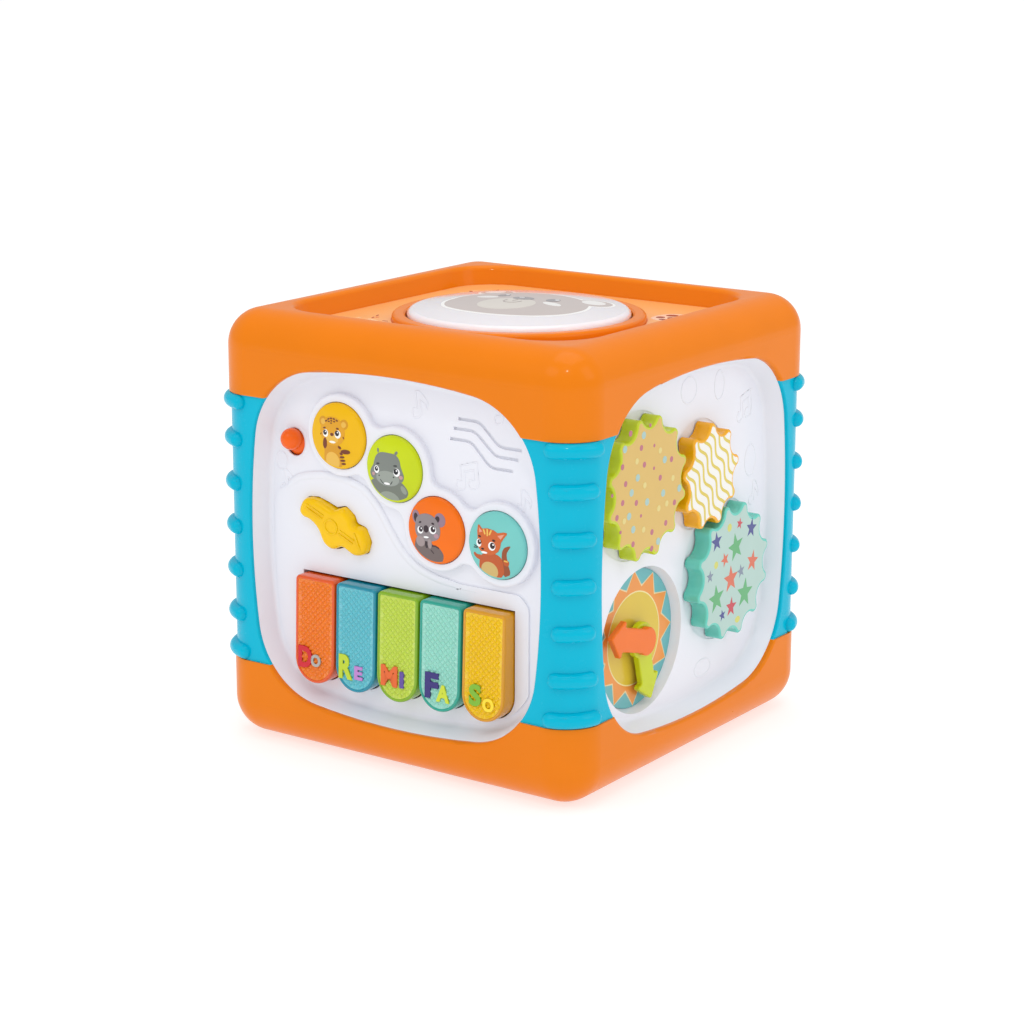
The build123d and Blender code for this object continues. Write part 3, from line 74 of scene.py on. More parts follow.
# ------------------------------------------------------------------ materials
def material(name, rgb, rough=0.24, spread=0.05, vary=0.05, vary_scale=28.0,
             coat=0.35, coat_rough=0.12, bump=0.06, bump_scale=900.0, wave=0.0,
             metal=0.0, transmission=0.0, ior=1.46, sss=0.0, sss_r=0.004,
             speck=0.0, emission=0.0, spec=0.5):
    """Moulded plastic, ink or metal: slow colour drift, fine roughness noise,
    moulding grain in the bump and a little flow unevenness."""
    mat = bpy.data.materials.new(name)
    mat.use_nodes = True
    nt = mat.node_tree
    nt.nodes.clear()
    out = nt.nodes.new("ShaderNodeOutputMaterial")
    bsdf = nt.nodes.new("ShaderNodeBsdfPrincipled")
    nt.links.new(bsdf.outputs["BSDF"], out.inputs["Surface"])
    tex = nt.nodes.new("ShaderNodeTexCoord")

    drift = nt.nodes.new("ShaderNodeTexNoise")
    drift.inputs["Scale"].default_value = vary_scale
    drift.inputs["Detail"].default_value = 3.0
    nt.links.new(tex.outputs["Object"], drift.inputs["Vector"])
    ramp = nt.nodes.new("ShaderNodeValToRGB")
    ramp.color_ramp.elements[0].position = 0.32
    ramp.color_ramp.elements[0].color = rgba(rgb, 1.0 - vary)
    ramp.color_ramp.elements[1].position = 0.68
    ramp.color_ramp.elements[1].color = rgba(rgb, 1.0 + vary)
    nt.links.new(drift.outputs["Fac"], ramp.inputs["Fac"])
    colour = ramp.outputs["Color"]
    if speck:
        dots = nt.nodes.new("ShaderNodeTexNoise")
        dots.inputs["Scale"].default_value = 2600.0
        dots.inputs["Detail"].default_value = 1.0
        nt.links.new(tex.outputs["Object"], dots.inputs["Vector"])
        dr = nt.nodes.new("ShaderNodeMapRange")
        dr.inputs["From Min"].default_value = 0.62
        dr.inputs["From Max"].default_value = 0.78
        dr.inputs["To Max"].default_value = speck
        nt.links.new(dots.outputs["Fac"], dr.inputs["Value"])
        mix = nt.nodes.new("ShaderNodeMix")
        mix.data_type = "RGBA"
        nt.links.new(dr.outputs["Result"], mix.inputs["Factor"])
        nt.links.new(colour, mix.inputs["A"])
        mix.inputs["B"].default_value = rgba(rgb, 0.6)
        colour = mix.outputs["Result"]
    nt.links.new(colour, bsdf.inputs["Base Color"])

    grain = nt.nodes.new("ShaderNodeTexNoise")
    grain.inputs["Scale"].default_value = 170.0
    grain.inputs["Detail"].default_value = 4.0
    nt.links.new(tex.outputs["Object"], grain.inputs["Vector"])
    mr = nt.nodes.new("ShaderNodeMapRange")
    mr.inputs["To Min"].default_value = max(0.02, rough - spread)
    mr.inputs["To Max"].default_value = rough + spread
    nt.links.new(grain.outputs["Fac"], mr.inputs["Value"])
    nt.links.new(mr.outputs["Result"], bsdf.inputs["Roughness"])

    fine = nt.nodes.new("ShaderNodeTexNoise")
    fine.inputs["Scale"].default_value = bump_scale
    fine.inputs["Detail"].default_value = 2.0
    nt.links.new(tex.outputs["Object"], fine.inputs["Vector"])
    b1 = nt.nodes.new("ShaderNodeBump")
    b1.inputs["Strength"].default_value = bump
    b1.inputs["Distance"].default_value = 0.0002
    nt.links.new(fine.outputs["Fac"], b1.inputs["Height"])
    normal = b1.outputs["Normal"]
    if wave:
        flow = nt.nodes.new("ShaderNodeTexNoise")
        flow.inputs["Scale"].default_value = 22.0
        flow.inputs["Detail"].default_value = 1.0
        nt.links.new(tex.outputs["Object"], flow.inputs["Vector"])
        b2 = nt.nodes.new("ShaderNodeBump")
        b2.inputs["Strength"].default_value = wave
        b2.inputs["Distance"].default_value = 0.0015
        nt.links.new(flow.outputs["Fac"], b2.inputs["Height"])
        nt.links.new(normal, b2.inputs["Normal"])
        normal = b2.outputs["Normal"]
    nt.links.new(normal, bsdf.inputs["Normal"])

    bsdf.inputs["Metallic"].default_value = metal
    bsdf.inputs["IOR"].default_value = ior
    bsdf.inputs["Specular IOR Level"].default_value = spec
    bsdf.inputs["Coat Weight"].default_value = coat
    bsdf.inputs["Coat Roughness"].default_value = coat_rough
    bsdf.inputs["Transmission Weight"].default_value = transmission
    if sss:
        bsdf.inputs["Subsurface Weight"].default_value = sss
        bsdf.inputs["Subsurface Radius"].default_value = (1.0, 0.8, 0.6)
        bsdf.inputs["Subsurface Scale"].default_value = sss_r
    if emission:
        bsdf.inputs["Emission Color"].default_value = rgba(rgb)
        bsdf.inputs["Emission Strength"].default_value = emission
    mat.diffuse_color = rgba(rgb)
    return mat


M = {
    "orange": material("orange_shell_plastic", (233, 125, 8), rough=0.30, vary=0.015, wave=0.03, coat=0.17, coat_rough=0.08, spec=0.1),
    "teal": material("teal_shell_plastic", (0, 182, 212), rough=0.26, vary=0.015, wave=0.03, coat=0.18, coat_rough=0.07, spec=0.08),
    "white": material("white_panel_plastic", (234, 235, 243), rough=0.30, spread=0.015, vary=0.003, wave=0.0, coat=0.15, bump=0.02, spec=0.3),
    "label": material("tray_label_print", (246, 176, 104), rough=0.34, vary=0.03, coat=0.15),
    "dome": material("milky_dome_plastic", (248, 240, 244), rough=0.15, vary=0.006, sss=0.3, sss_r=0.006, coat=0.6, coat_rough=0.05),
    "inner": material("inner_white_plastic", (220, 220, 220), rough=0.4, vary=0.03),
    "board": material("circuit_board_green", (20, 105, 55), rough=0.45, vary=0.12, vary_scale=160.0, speck=0.5),
    "silicone": material("grey_silicone", (130, 132, 136), rough=0.55, vary=0.05, coat=0.0),
    "b_yellow": material("button_yellow_plastic", (238, 184, 4), rough=0.16, coat=0.32, coat_rough=0.05, spec=0.12),
    "b_lime": material("button_lime_plastic", (198, 214, 20), rough=0.16, coat=0.32, coat_rough=0.05, spec=0.12),
    "b_orange": material("button_orange_plastic", (242, 112, 10), rough=0.16, coat=0.32, coat_rough=0.05, spec=0.12),
    "b_mint": material("button_mint_plastic", (120, 202, 196), rough=0.16, coat=0.32, coat_rough=0.05, spec=0.12),
    "lever": material("lever_red_orange", (244, 100, 18), rough=0.18, coat=0.35, coat_rough=0.06, spec=0.12),
    "g_green": material("gear_green_plastic", (192, 208, 26), rough=0.22, coat=0.4, wave=0.03, spec=0.3),
    "g_yellow": material("gear_yellow_plastic", (242, 172, 8), rough=0.22, coat=0.4, wave=0.03, spec=0.3),
    "g_mint": material("gear_mint_plastic", (104, 204, 188), rough=0.22, coat=0.4, wave=0.03, spec=0.3),
    "clock": material("clock_print_teal", (98, 178, 182), rough=0.36, vary=0.03, coat=0.2),
    "hour": material("hand_orange_plastic", (238, 112, 16), rough=0.22, coat=0.3, spec=0.2),
    "minute": material("hand_lime_plastic", (200, 212, 24), rough=0.22, coat=0.3, spec=0.2),
    "led": material("led_clear_epoxy", (238, 240, 244), rough=0.08, transmission=0.6, coat=0.2),
    "speaker": material("speaker_black", (24, 24, 26), rough=0.5, vary=0.2, coat=0.0, bump=0.3),
    "mirror": material("mirror_film", (214, 220, 226), rough=0.05, spread=0.02, metal=1.0, coat=0.0, bump=0.01, wave=0.04),
    "battery": material("battery_wrap", (52, 60, 78), rough=0.3, metal=0.3),
    "black": material("switch_black_plastic", (22, 22, 24), rough=0.4, vary=0.15),
    "steel": material("zinc_plated_steel", (178, 180, 184), rough=0.28, metal=1.0, coat=0.0, bump=0.12, vary=0.06, vary_scale=300.0),
}

SLOT_MATERIAL = {
    "orange_shell": "orange", "teal_shell": "teal", "white_panel": "white", "print_yellow": "label",
    "white_dome": "dome", "inner_white": "inner", "board_green": "board", "silicone_grey": "silicone",
    "button_yellow": "b_yellow", "button_lime": "b_lime", "button_orange": "b_orange", "button_mint": "b_mint",
    "red_orange": "lever", "gear_green": "g_green", "gear_yellow": "g_yellow", "gear_mint": "g_mint",
    "clock_print": "clock", "hand_orange": "hour", "hand_lime": "minute", "led_clear": "led",
    "speaker_black": "speaker", "mirror_film": "mirror", "battery_wrap": "battery", "switch_black": "black",
    "steel": "steel",
}

# colour of each key: the face plastic, then a darker, deeper copy of the same plastic for the rims and sides, which is
# painted shade where the thick translucent edges look deeper
KEYS = [("key_orange", "orange_key", (252, 134, 30), (234, 88, 8), "DO"),
        ("key_blue", "blue_key", (108, 204, 218), (8, 142, 168), "RE"),
        ("key_lime", "lime_key", (204, 226, 84), (132, 178, 18), "MI"),
        ("key_mint", "mint_key", (162, 228, 212), (34, 164, 144), "FA"),
        ("key_yellow", "yellow_key", (252, 206, 6), (222, 154, 0), "SO")]

record = frame["record"]
slot_of = {}
for s in record.get("subparts", []) or record.get("provenance", {}).get("subparts", []):
    slot_of[s["node"]] = s["material_slot"]


def find_slots(x):
    """Node to slot pairs, wherever the record keeps them."""
    if isinstance(x, dict):
        if "node" in x and "material_slot" in x:
            slot_of[x["node"]] = x["material_slot"]
        for v in x.values():
            find_slots(v)
    elif isinstance(x, list):
        for v in x:
            find_slots(v)


find_slots(record)

for node, obj in NODES.items():
    key = SLOT_MATERIAL.get(slot_of.get(node, ""))
    mat = M.get(key, M["inner"])
    obj.data.materials.clear()
    obj.data.materials.append(mat)

AMBER = material("amber_lens_plastic", (246, 196, 0), rough=0.10, spread=0.03, coat=0.34, coat_rough=0.03,
                 ior=1.49, wave=0.05, spec=0.12, sss=0.15, sss_r=0.003)
NODES["guitar_button"].data.materials[0] = AMBER


# ------------------------------------------------------------------ 2-D shapes, in mm
def ell(cx, cy, rx, ry=None, rot=0.0, n=None):
    ry = rx if ry is None else ry
    n = n or max(10, min(96, int(2 * math.pi * max(rx, ry) / 0.45)))
    c, s = math.cos(math.radians(rot)), math.sin(math.radians(rot))
    pts = []
    for i in range(n):
        a = 2 * math.pi * i / n
        x, y = rx * math.cos(a), ry * math.sin(a)
        pts.append((cx + x * c - y * s, cy + x * s + y * c))
    return pts


def smooth(points, step=0.6):
    """Closed Catmull-Rom curve through the points."""
    n = len(points)
    out = []
    for i in range(n):
        p0, p1, p2, p3 = (np.array(points[(i + k - 1) % n], float) for k in range(4))
        m = max(2, int(np.linalg.norm(p2 - p1) / step))
        for k in range(m):
            t = k / m
            q = 0.5 * ((2 * p1) + (p2 - p0) * t + (2 * p0 - 5 * p1 + 4 * p2 - p3) * t * t
                       + (3 * p1 - p0 - 3 * p2 + p3) * t ** 3)
            out.append((float(q[0]), float(q[1])))
    return out


def dense(points, step=0.8):
    """The same closed polygon with its long sides cut into short ones."""
    out = []
    n = len(points)
    for i in range(n):
        p, q = np.array(points[i], float), np.array(points[(i + 1) % n], float)
        m = max(1, int(np.linalg.norm(q - p) / step))
        for k in range(m):
            r = p + (q - p) * k / m
            out.append((float(r[0]), float(r[1])))
    return out


def curve_points(points, step=0.5):
    """Open Catmull-Rom curve."""
    n = len(points)
    out = []
    for i in range(n - 1):
        p0 = np.array(points[max(i - 1, 0)], float)
        p1 = np.array(points[i], float)
        p2 = np.array(points[i + 1], float)
        p3 = np.array(points[min(i + 2, n - 1)], float)
        m = max(2, int(np.linalg.norm(p2 - p1) / step))
        for k in range(m):
            t = k / m
            q = 0.5 * ((2 * p1) + (p2 - p0) * t + (2 * p0 - 5 * p1 + 4 * p2 - p3) * t * t
                       + (3 * p1 - p0 - 3 * p2 + p3) * t ** 3)
            out.append((float(q[0]), float(q[1])))
    out.append(tuple(float(c) for c in points[-1]))
    return out


def stroke(points, width, curved=True, step=0.5, taper=False):
    """Outline of a line of this width with round ends."""
    pts = curve_points(points, step) if curved and len(points) > 2 else [tuple(map(float, p)) for p in points]
    pts = np.array(pts, float)
    left, right = [], []
    n = len(pts)
    for i in range(n):
        a, b = pts[max(i - 1, 0)], pts[min(i + 1, n - 1)]
        d = b - a
        d = d / (np.linalg.norm(d) + 1e-9)
        w = width / 2 * ((1 - 0.75 * i / (n - 1)) if taper else 1.0)
        nrm = np.array((-d[1], d[0])) * w
        left.append(pts[i] + nrm)
        right.append(pts[i] - nrm)
    out = [tuple(p) for p in left]
    for end, a, b in ((pts[-1], left[-1], right[-1]), (pts[0], right[0], left[0])):
        a0 = math.atan2(*(a - end)[::-1])
        r = np.linalg.norm(a - end)
        for k in range(1, 6):
            ang = a0 - math.pi * k / 6
            out.append((end[0] + r * math.cos(ang), end[1] + r * math.sin(ang)))
        if end is pts[-1] or np.allclose(end, pts[-1]):
            out.extend(tuple(p) for p in right[::-1])
    seen, res = set(), []
    for p in out:
        k = (round(float(p[0]), 4), round(float(p[1]), 4))
        if k not in seen:
            seen.add(k)
            res.append((float(p[0]), float(p[1])))
    return res


def star(cx, cy, r, turn=90.0, inner=0.42, n=5):
    return [(cx + (r if i % 2 == 0 else r * inner) * math.cos(math.radians(turn) + math.pi * i / n),
             cy + (r if i % 2 == 0 else r * inner) * math.sin(math.radians(turn) + math.pi * i / n))
            for i in range(2 * n)]


def gear_outline(cy, cz, teeth, tip, root, phase, inset=0.0, a=3.2, per=7):
    """The gears' tooth outline, set in by `inset`."""
    h = math.pi / teeth
    big = tip - a
    c = math.cos(h)
    b = (a * a - big * big - root * root + 2 * big * c * root) / (2 * (root - big * c - a))
    rc = root + b
    dx, dy = rc * c - big, rc * math.sin(h)
    d = math.hypot(dx, dy)
    tx, ty = big + dx / d * a, dy / d * a
    tang = math.atan2(ty, tx - big)
    pts = []
    for k in range(teeth):
        t = math.radians(phase) + 2 * math.pi * k / teeth
        ct, st = math.cos(t), math.sin(t)
        for i in range(per):
            ang = -tang + 2 * tang * i / per
            x, y = big + (a - inset) * math.cos(ang), (a - inset) * math.sin(ang)
            pts.append((cy + x * ct - y * st, cz + x * st + y * ct))
        th = t + h
        ct, st = math.cos(th), math.sin(th)
        x1, y1 = big * math.cos(-h) + math.cos(tang - h) * a, big * math.sin(-h) + math.sin(tang - h) * a
        half = abs(math.atan2(y1, rc - x1))
        for i in range(per):
            ang = math.pi + half - 2 * half * i / per
            x, y = rc + (b + inset) * math.cos(ang), (b + inset) * math.sin(ang)
            pts.append((cy + x * ct - y * st, cz + x * st + y * ct))
    return pts


def inside(px, py, loop):
    """Even-odd test of many points against one loop."""
    res = np.zeros(len(px), bool)
    n = len(loop)
    for i in range(n):
        x1, y1 = loop[i]
        x2, y2 = loop[(i + 1) % n]
        if y1 == y2:
            continue
        cond = (y1 > py) != (y2 > py)
        xin = (x2 - x1) * (py - y1) / (y2 - y1) + x1
        res ^= cond & (px < xin)
    return res


# ------------------------------------------------------------------ surfaces
W2 = 115.0


def on_front(depth):
    f = depth if callable(depth) else (lambda u, v: depth)
    return lambda u, v, h: Vector((u, -(W2 - f(u, v)) - h, v)) * MM


def on_right(depth):
    return lambda u, v, h: Vector((W2 - depth + h, u, v)) * MM


def on_back(depth):
    return lambda u, v, h: Vector((-u, W2 - depth + h, v)) * MM


def on_left(depth):
    return lambda u, v, h: Vector((-(W2 - depth) - h, -u, v)) * MM


def on_top(height):
    f = height if callable(height) else (lambda u, v: height)
    return lambda u, v, h: Vector((u, v, f(u, v) + h)) * MM


def button_depth(cx, cz):
    def f(u, v):
        r = min(math.hypot(u - cx, v - cz), 16.6)
        if r <= 16.0:
            return 98.53 - math.sqrt(92.13 ** 2 - r * r)
        return 7.8 + (r - 16.0) * 0.55
    return f


def dome_height(u, v):
    return -294.17 + math.sqrt(524.17 ** 2 - min(math.hypot(u, v), 56.0) ** 2)


def front_d(z):
    return 3.3 + 2.1 * (z - 38.1) / 56.9


# ------------------------------------------------------------------ mesh building
def make_object(name, verts, faces, mats, body, soft=None, face_mats=None):
    me = bpy.data.meshes.new(name)
    me.from_pydata([tuple(v) for v in verts], [], faces)
    for m in (mats if isinstance(mats, (list, tuple)) else [mats]):
        me.materials.append(m)
    if face_mats:
        for p, k in zip(me.polygons, face_mats):
            p.material_index = k
    me.validate()
    me.update()
    if soft:
        me.polygons.foreach_set("use_smooth", [True] * len(me.polygons))
        me.set_sharp_from_angle(angle=math.radians(soft))
    ob = bpy.data.objects.new(name, me)
    bpy.context.scene.collection.objects.link(ob)
    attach(ob, body)
    return ob


def plate(name, shapes, surf, top, mat, body, bottom=-0.08, clip=None, grid=None, bevel=0.0):
    """A thin closed plate lying on a surface. Each shape is a loop, or a list
    [outer, hole, ...]; shapes join, and clip cuts them all. bevel draws the
    top in to soften the edge of raised details."""
    groups = [([s] if isinstance(s[0][0], (int, float)) else s) for s in shapes]
    pts, edges, index = [], [], {}

    def vid(p):
        k = (round(p[0], 3), round(p[1], 3))
        if k not in index:
            index[k] = len(pts)
            pts.append(Vector((k[0], k[1])))
        return index[k]

    loops = [lp for g in groups for lp in g] + ([clip] if clip else [])
    for lp in loops:
        ids = [vid(p) for p in lp]
        for i in range(len(ids)):
            a, b = ids[i], ids[(i + 1) % len(ids)]
            if a != b:
                edges.append((a, b))
    if grid:
        allp = np.array([p for lp in loops for p in lp])
        (x0, y0), (x1, y1) = allp.min(0), allp.max(0)
        gx, gy = np.meshgrid(np.arange(x0 + grid / 2, x1, grid), np.arange(y0 + grid / 2, y1, grid))
        for x, y in zip(gx.ravel(), gy.ravel()):
            vid((float(x), float(y)))
    v2, e2, f2 = delaunay_2d_cdt(pts, edges, [], 0, 1e-5, False)[:3]
    v2 = np.array([(v[0], v[1]) for v in v2])
    tri = [tuple(f) for f in f2 if len(f) == 3]
    cx = np.array([v2[list(t)].mean(0) for t in tri])
    keep = np.zeros(len(tri), bool)
    for g in groups:
        k = np.zeros(len(tri), bool)
        for lp in g:
            k ^= inside(cx[:, 0], cx[:, 1], lp)
        keep |= k
    if clip:
        keep &= inside(cx[:, 0], cx[:, 1], clip)
    tri = [t for t, k in zip(tri, keep) if k]
    fixed = []
    for a, b, c in tri:
        area = (v2[b][0] - v2[a][0]) * (v2[c][1] - v2[a][1]) - (v2[c][0] - v2[a][0]) * (v2[b][1] - v2[a][1])
        if abs(area) < 1e-9:
            continue
        fixed.append((a, b, c) if area > 0 else (a, c, b))
    used = sorted({i for t in fixed for i in t})
    remap = {v: i for i, v in enumerate(used)}
    fixed = [tuple(remap[i] for i in t) for t in fixed]
    p2 = v2[used]
    n = len(used)
    count = {}
    for a, b, c in fixed:
        for e in ((a, b), (b, c), (c, a)):
            count[e] = count.get(e, 0) + 1
    rim = [e for e in count if (e[1], e[0]) not in count]
    top_pts = p2.copy()
    if bevel and rim:
        shift = np.zeros_like(p2)
        for a, b in rim:
            d = p2[b] - p2[a]
            length = np.linalg.norm(d) + 1e-9
            inward = np.array((-d[1], d[0])) / length
            shift[a] += inward
            shift[b] += inward
        ln = np.linalg.norm(shift, axis=1)
        ok = ln > 1e-6
        shift[ok] /= ln[ok][:, None]
        top_pts = p2 + shift * bevel
    verts = [surf(float(x), float(y), top) for x, y in top_pts]
    faces = list(fixed)
    if bevel:
        verts += [surf(float(x), float(y), top - bevel * 0.9) for x, y in p2]
        verts += [surf(float(x), float(y), bottom) for x, y in p2]
        for a, b in rim:
            faces.append((b, a, a + n, b + n))
            faces.append((b + n, a + n, a + 2 * n, b + 2 * n))
        faces += [(a + 2 * n, c + 2 * n, b + 2 * n) for a, b, c in fixed]
        # drop middle-ring vertices that no rim edge uses
        ring = {i for e in rim for i in e}
        usedv = set(range(n)) | {i + n for i in ring} | set(range(2 * n, 3 * n))
        order = sorted(usedv)
        rm = {v: i for i, v in enumerate(order)}
        verts = [verts[i] for i in order]
        faces = [tuple(rm[i] for i in f) for f in faces]
    else:
        verts += [surf(float(x), float(y), bottom) for x, y in p2]
        for a, b in rim:
            faces.append((b, a, a + n, b + n))
        faces += [(a + n, c + n, b + n) for a, b, c in fixed]
    ob = make_object(name, verts, faces, mat, body, soft=50 if not bevel else 62)
    return ob


_inks = {}


def ink(rgb, rough=0.24, coat=0.3):
    key = tuple(int(c) for c in rgb)
    if key not in _inks:
        _inks[key] = material("ink_%02x%02x%02x" % key, key, rough=rough, spread=0.02, vary=0.012, vary_scale=60.0, spec=0.3,
                              coat=coat, coat_rough=0.06, bump=0.03, bump_scale=1500.0, speck=0.0)
    return _inks[key]


def picture(prefix, layers, surf, body, clip=None, grid=None, first=0.05, step=0.035):
    """Printed layers, bottom first, each a little above the last. A layer is
    (name, colour, [loops])."""
    for i, (name, rgb, shapes) in enumerate(layers):
        plate("%s_%s" % (prefix, name), shapes, surf, first + step * i, ink(rgb), body,
              bottom=-0.06, clip=clip, grid=grid)


# ------------------------------------------------------------------ animal buttons
def eyes(pairs):
    white, dark, glint = [], [], []
    for (x, z, rx, ry), (px, pz, pr) in pairs:
        white.append(ell(x, z, rx, ry))
        dark.append(ell(px, pz, pr, pr * 1.08))
        glint.append(ell(px + pr * 0.30, pz + pr * 0.38, pr * 0.33, n=10))
    return white, dark, glint


w, d, g = eyes([((-44.7, 172.7, 1.75, 2.0), (-45.0, 173.1, 1.25)), ((-36.6, 173.0, 1.95, 2.1), (-37.0, 173.5, 1.35))])
LEOPARD = [
    ("back", (214, 150, 14), [
        smooth([(-46.2, 168.5), (-46.0, 163.0), (-46.6, 157.5), (-44.0, 154.5), (-38.5, 153.8), (-35.2, 156.0),
                (-35.3, 161.0), (-35.2, 166.0), (-37.5, 168.6), (-42.0, 169.2)]),
        ell(-46.7, 178.7, 2.6), ell(-32.9, 178.4, 2.6)]),
    ("head", (224, 160, 20), [
        smooth([(-48.3, 174.0), (-47.6, 170.4), (-44.5, 167.6), (-40.2, 166.8), (-36.0, 167.6), (-33.0, 170.3),
                (-32.2, 174.0), (-33.3, 178.0), (-36.5, 180.8), (-40.5, 181.7), (-44.5, 180.9), (-47.3, 178.2)])]),
    ("light", (233, 184, 74), [ell(-46.6, 178.6, 1.5), ell(-33.0, 178.3, 1.5), ell(-40.8, 158.6, 4.5, 4.7),
                               ell(-40.4, 170.4, 4.0, 2.7)]),
    ("brown", (116, 52, 20), [
        ell(-44.4, 179.1, 0.9, 0.45, 25), ell(-42.9, 180.2, 0.8, 0.45, 20), ell(-42.6, 179.0, 0.7, 0.4),
        ell(-41.2, 180.7, 0.8, 0.45), ell(-40.9, 179.5, 0.7, 0.45), ell(-39.3, 180.6, 0.8, 0.45, -15),
        ell(-39.0, 179.3, 0.7, 0.4), ell(-37.4, 180.0, 0.8, 0.45, -25), ell(-41.0, 178.3, 0.6, 0.35),
        ell(-45.3, 167.4, 1.35, 2.9, -6), ell(-32.1, 164.3, 2.9, 1.2, 2), ell(-35.7, 166.2, 1.1, 0.7, -30),
        ell(-34.9, 163.0, 1.0, 0.7, -20), ell(-34.5, 161.2, 1.5, 0.6, 6), ell(-34.2, 159.4, 1.6, 0.6, 6),
        ell(-33.9, 157.7, 1.4, 0.6, 6), ell(-40.4, 172.5, 1.2, 0.85), ell(-45.5, 175.4, 0.95, 0.45, 10),
        ell(-36.8, 175.9, 0.95, 0.5, -8), ell(-48.0, 172.0, 0.6, 0.3, 60), ell(-33.0, 171.6, 0.7, 0.35, -60)]),
    ("white", (250, 248, 240), w + [ell(-40.1, 168.6, 2.0, 0.6)]),
    ("pupil", (40, 26, 36), d),
    ("glint", (252, 252, 252), g),
]

w, d, g = eyes([((-12.0, 158.2, 1.7, 2.0), (-12.1, 158.5, 1.15)), ((1.0, 158.2, 2.0, 2.1), (0.6, 158.6, 1.4))])
HIPPO = [
    ("body", (116, 122, 112), [
        smooth([(-18.4, 147.6), (-16.6, 151.4), (-12.5, 153.4), (-5.0, 153.8), (2.5, 153.4), (5.2, 151.9),
                (7.2, 148.8), (6.4, 146.0), (4.0, 143.2), (0.0, 141.5), (-6.0, 141.0), (-13.0, 142.0), (-17.0, 144.6)])]),
    ("arm", (146, 154, 142), [ell(4.7, 149.4, 1.4, 2.4, 32), ell(-5.0, 143.3, 6.6, 4.2)]),
    ("head", (124, 130, 124), [
        smooth([(-12.4, 165.4), (-9.8, 167.2), (-5.0, 167.5), (0.0, 167.0), (2.4, 164.6), (3.4, 161.2), (4.4, 158.8),
                (5.2, 156.4), (4.5, 154.0), (2.4, 152.6), (-1.0, 150.8), (-5.2, 150.2), (-9.2, 150.8),
                (-12.6, 152.6), (-15.4, 153.4), (-16.6, 155.6), (-16.0, 158.0), (-14.4, 160.4), (-13.6, 163.0)]),
        ell(-11.4, 168.0, 0.6, 1.2, 10), ell(0.3, 167.9, 0.8, 1.2, -40)]),
    ("muzzle", (151, 158, 150), [ell(-5.0, 154.3, 7.4, 3.9)]),
    ("dark", (62, 66, 66), [
        ell(-11.2, 161.3, 1.1, 0.5, 8), ell(0.1, 161.5, 1.2, 0.45, 4), ell(-10.4, 155.2, 0.5, 0.35), ell(-1.0, 155.5, 0.5, 0.4),
        stroke([(-9.6, 153.2), (-8.2, 151.7), (-5.4, 151.0), (-3.0, 151.7), (-2.0, 153.1)], 0.45)]),
    ("pink", (196, 152, 152), [ell(3.5, 155.9, 1.2, 1.0), ell(-14.3, 155.6, 1.0, 0.9)]),
    ("white", (250, 250, 250), w + [ell(-5.4, 151.6, 2.0, 0.6)]),
    ("pupil", (20, 24, 28), d),
    ("glint", (252, 252, 252), g),
]

w, d, g = eyes([((15.4, 130.7, 1.9, 1.9), (15.8, 131.2, 1.3)), ((23.4, 131.9, 2.2, 2.1), (23.7, 132.3, 1.5))])
KOALA = [
    ("body", (112, 98, 96), [
        smooth([(11.2, 119.5), (11.6, 124.0), (14.0, 127.0), (21.0, 126.5), (23.2, 124.0), (26.2, 123.4), (28.2, 121.6),
                (29.3, 118.8), (27.5, 115.0), (22.0, 112.8), (15.5, 113.5), (12.0, 116.0)])]),
    ("ear", (150, 122, 138), [ell(12.3, 137.0, 2.5, 3.5, 15), ell(27.6, 137.4, 3.2, 3.6, 25)]),
    ("eardark", (52, 38, 44), [ell(12.3, 136.6, 1.4, 2.4, 12), ell(26.0, 137.6, 1.4, 1.7, -15), ell(19.2, 123.8, 1.0, 2.1),
                               stroke([(22.6, 123.4), (24.6, 123.6), (26.6, 122.8)], 0.7),
                               stroke([(21.9, 121.0), (23.3, 119.6)], 0.5, curved=False)]),
    ("head", (141, 131, 134), [
        smooth([(12.0, 133.0), (12.8, 136.6), (15.4, 138.7), (19.5, 139.6), (23.4, 138.7), (26.2, 136.4), (27.7, 133.4),
                (27.9, 130.8), (27.0, 128.0), (24.5, 126.4), (20.0, 125.4), (15.5, 125.8), (12.9, 127.6), (11.9, 130.4)])]),
    ("paw", (160, 144, 144), [ell(15.3, 124.8, 2.9, 2.8), ell(21.3, 124.3, 1.3, 2.5)]),
    ("pink", (178, 142, 152), [ell(25.6, 129.0, 1.5, 1.2)]),
    ("white", (250, 250, 250), w + [ell(19.2, 127.5, 1.7, 0.5, 6)]),
    ("dark", (48, 30, 40), [ell(19.2, 131.8, 1.55, 1.85), ell(15.3, 134.7, 0.85, 0.45, 20), ell(23.5, 135.1, 0.9, 0.5, -15)] + d),
    ("glint", (252, 252, 252), g),
]

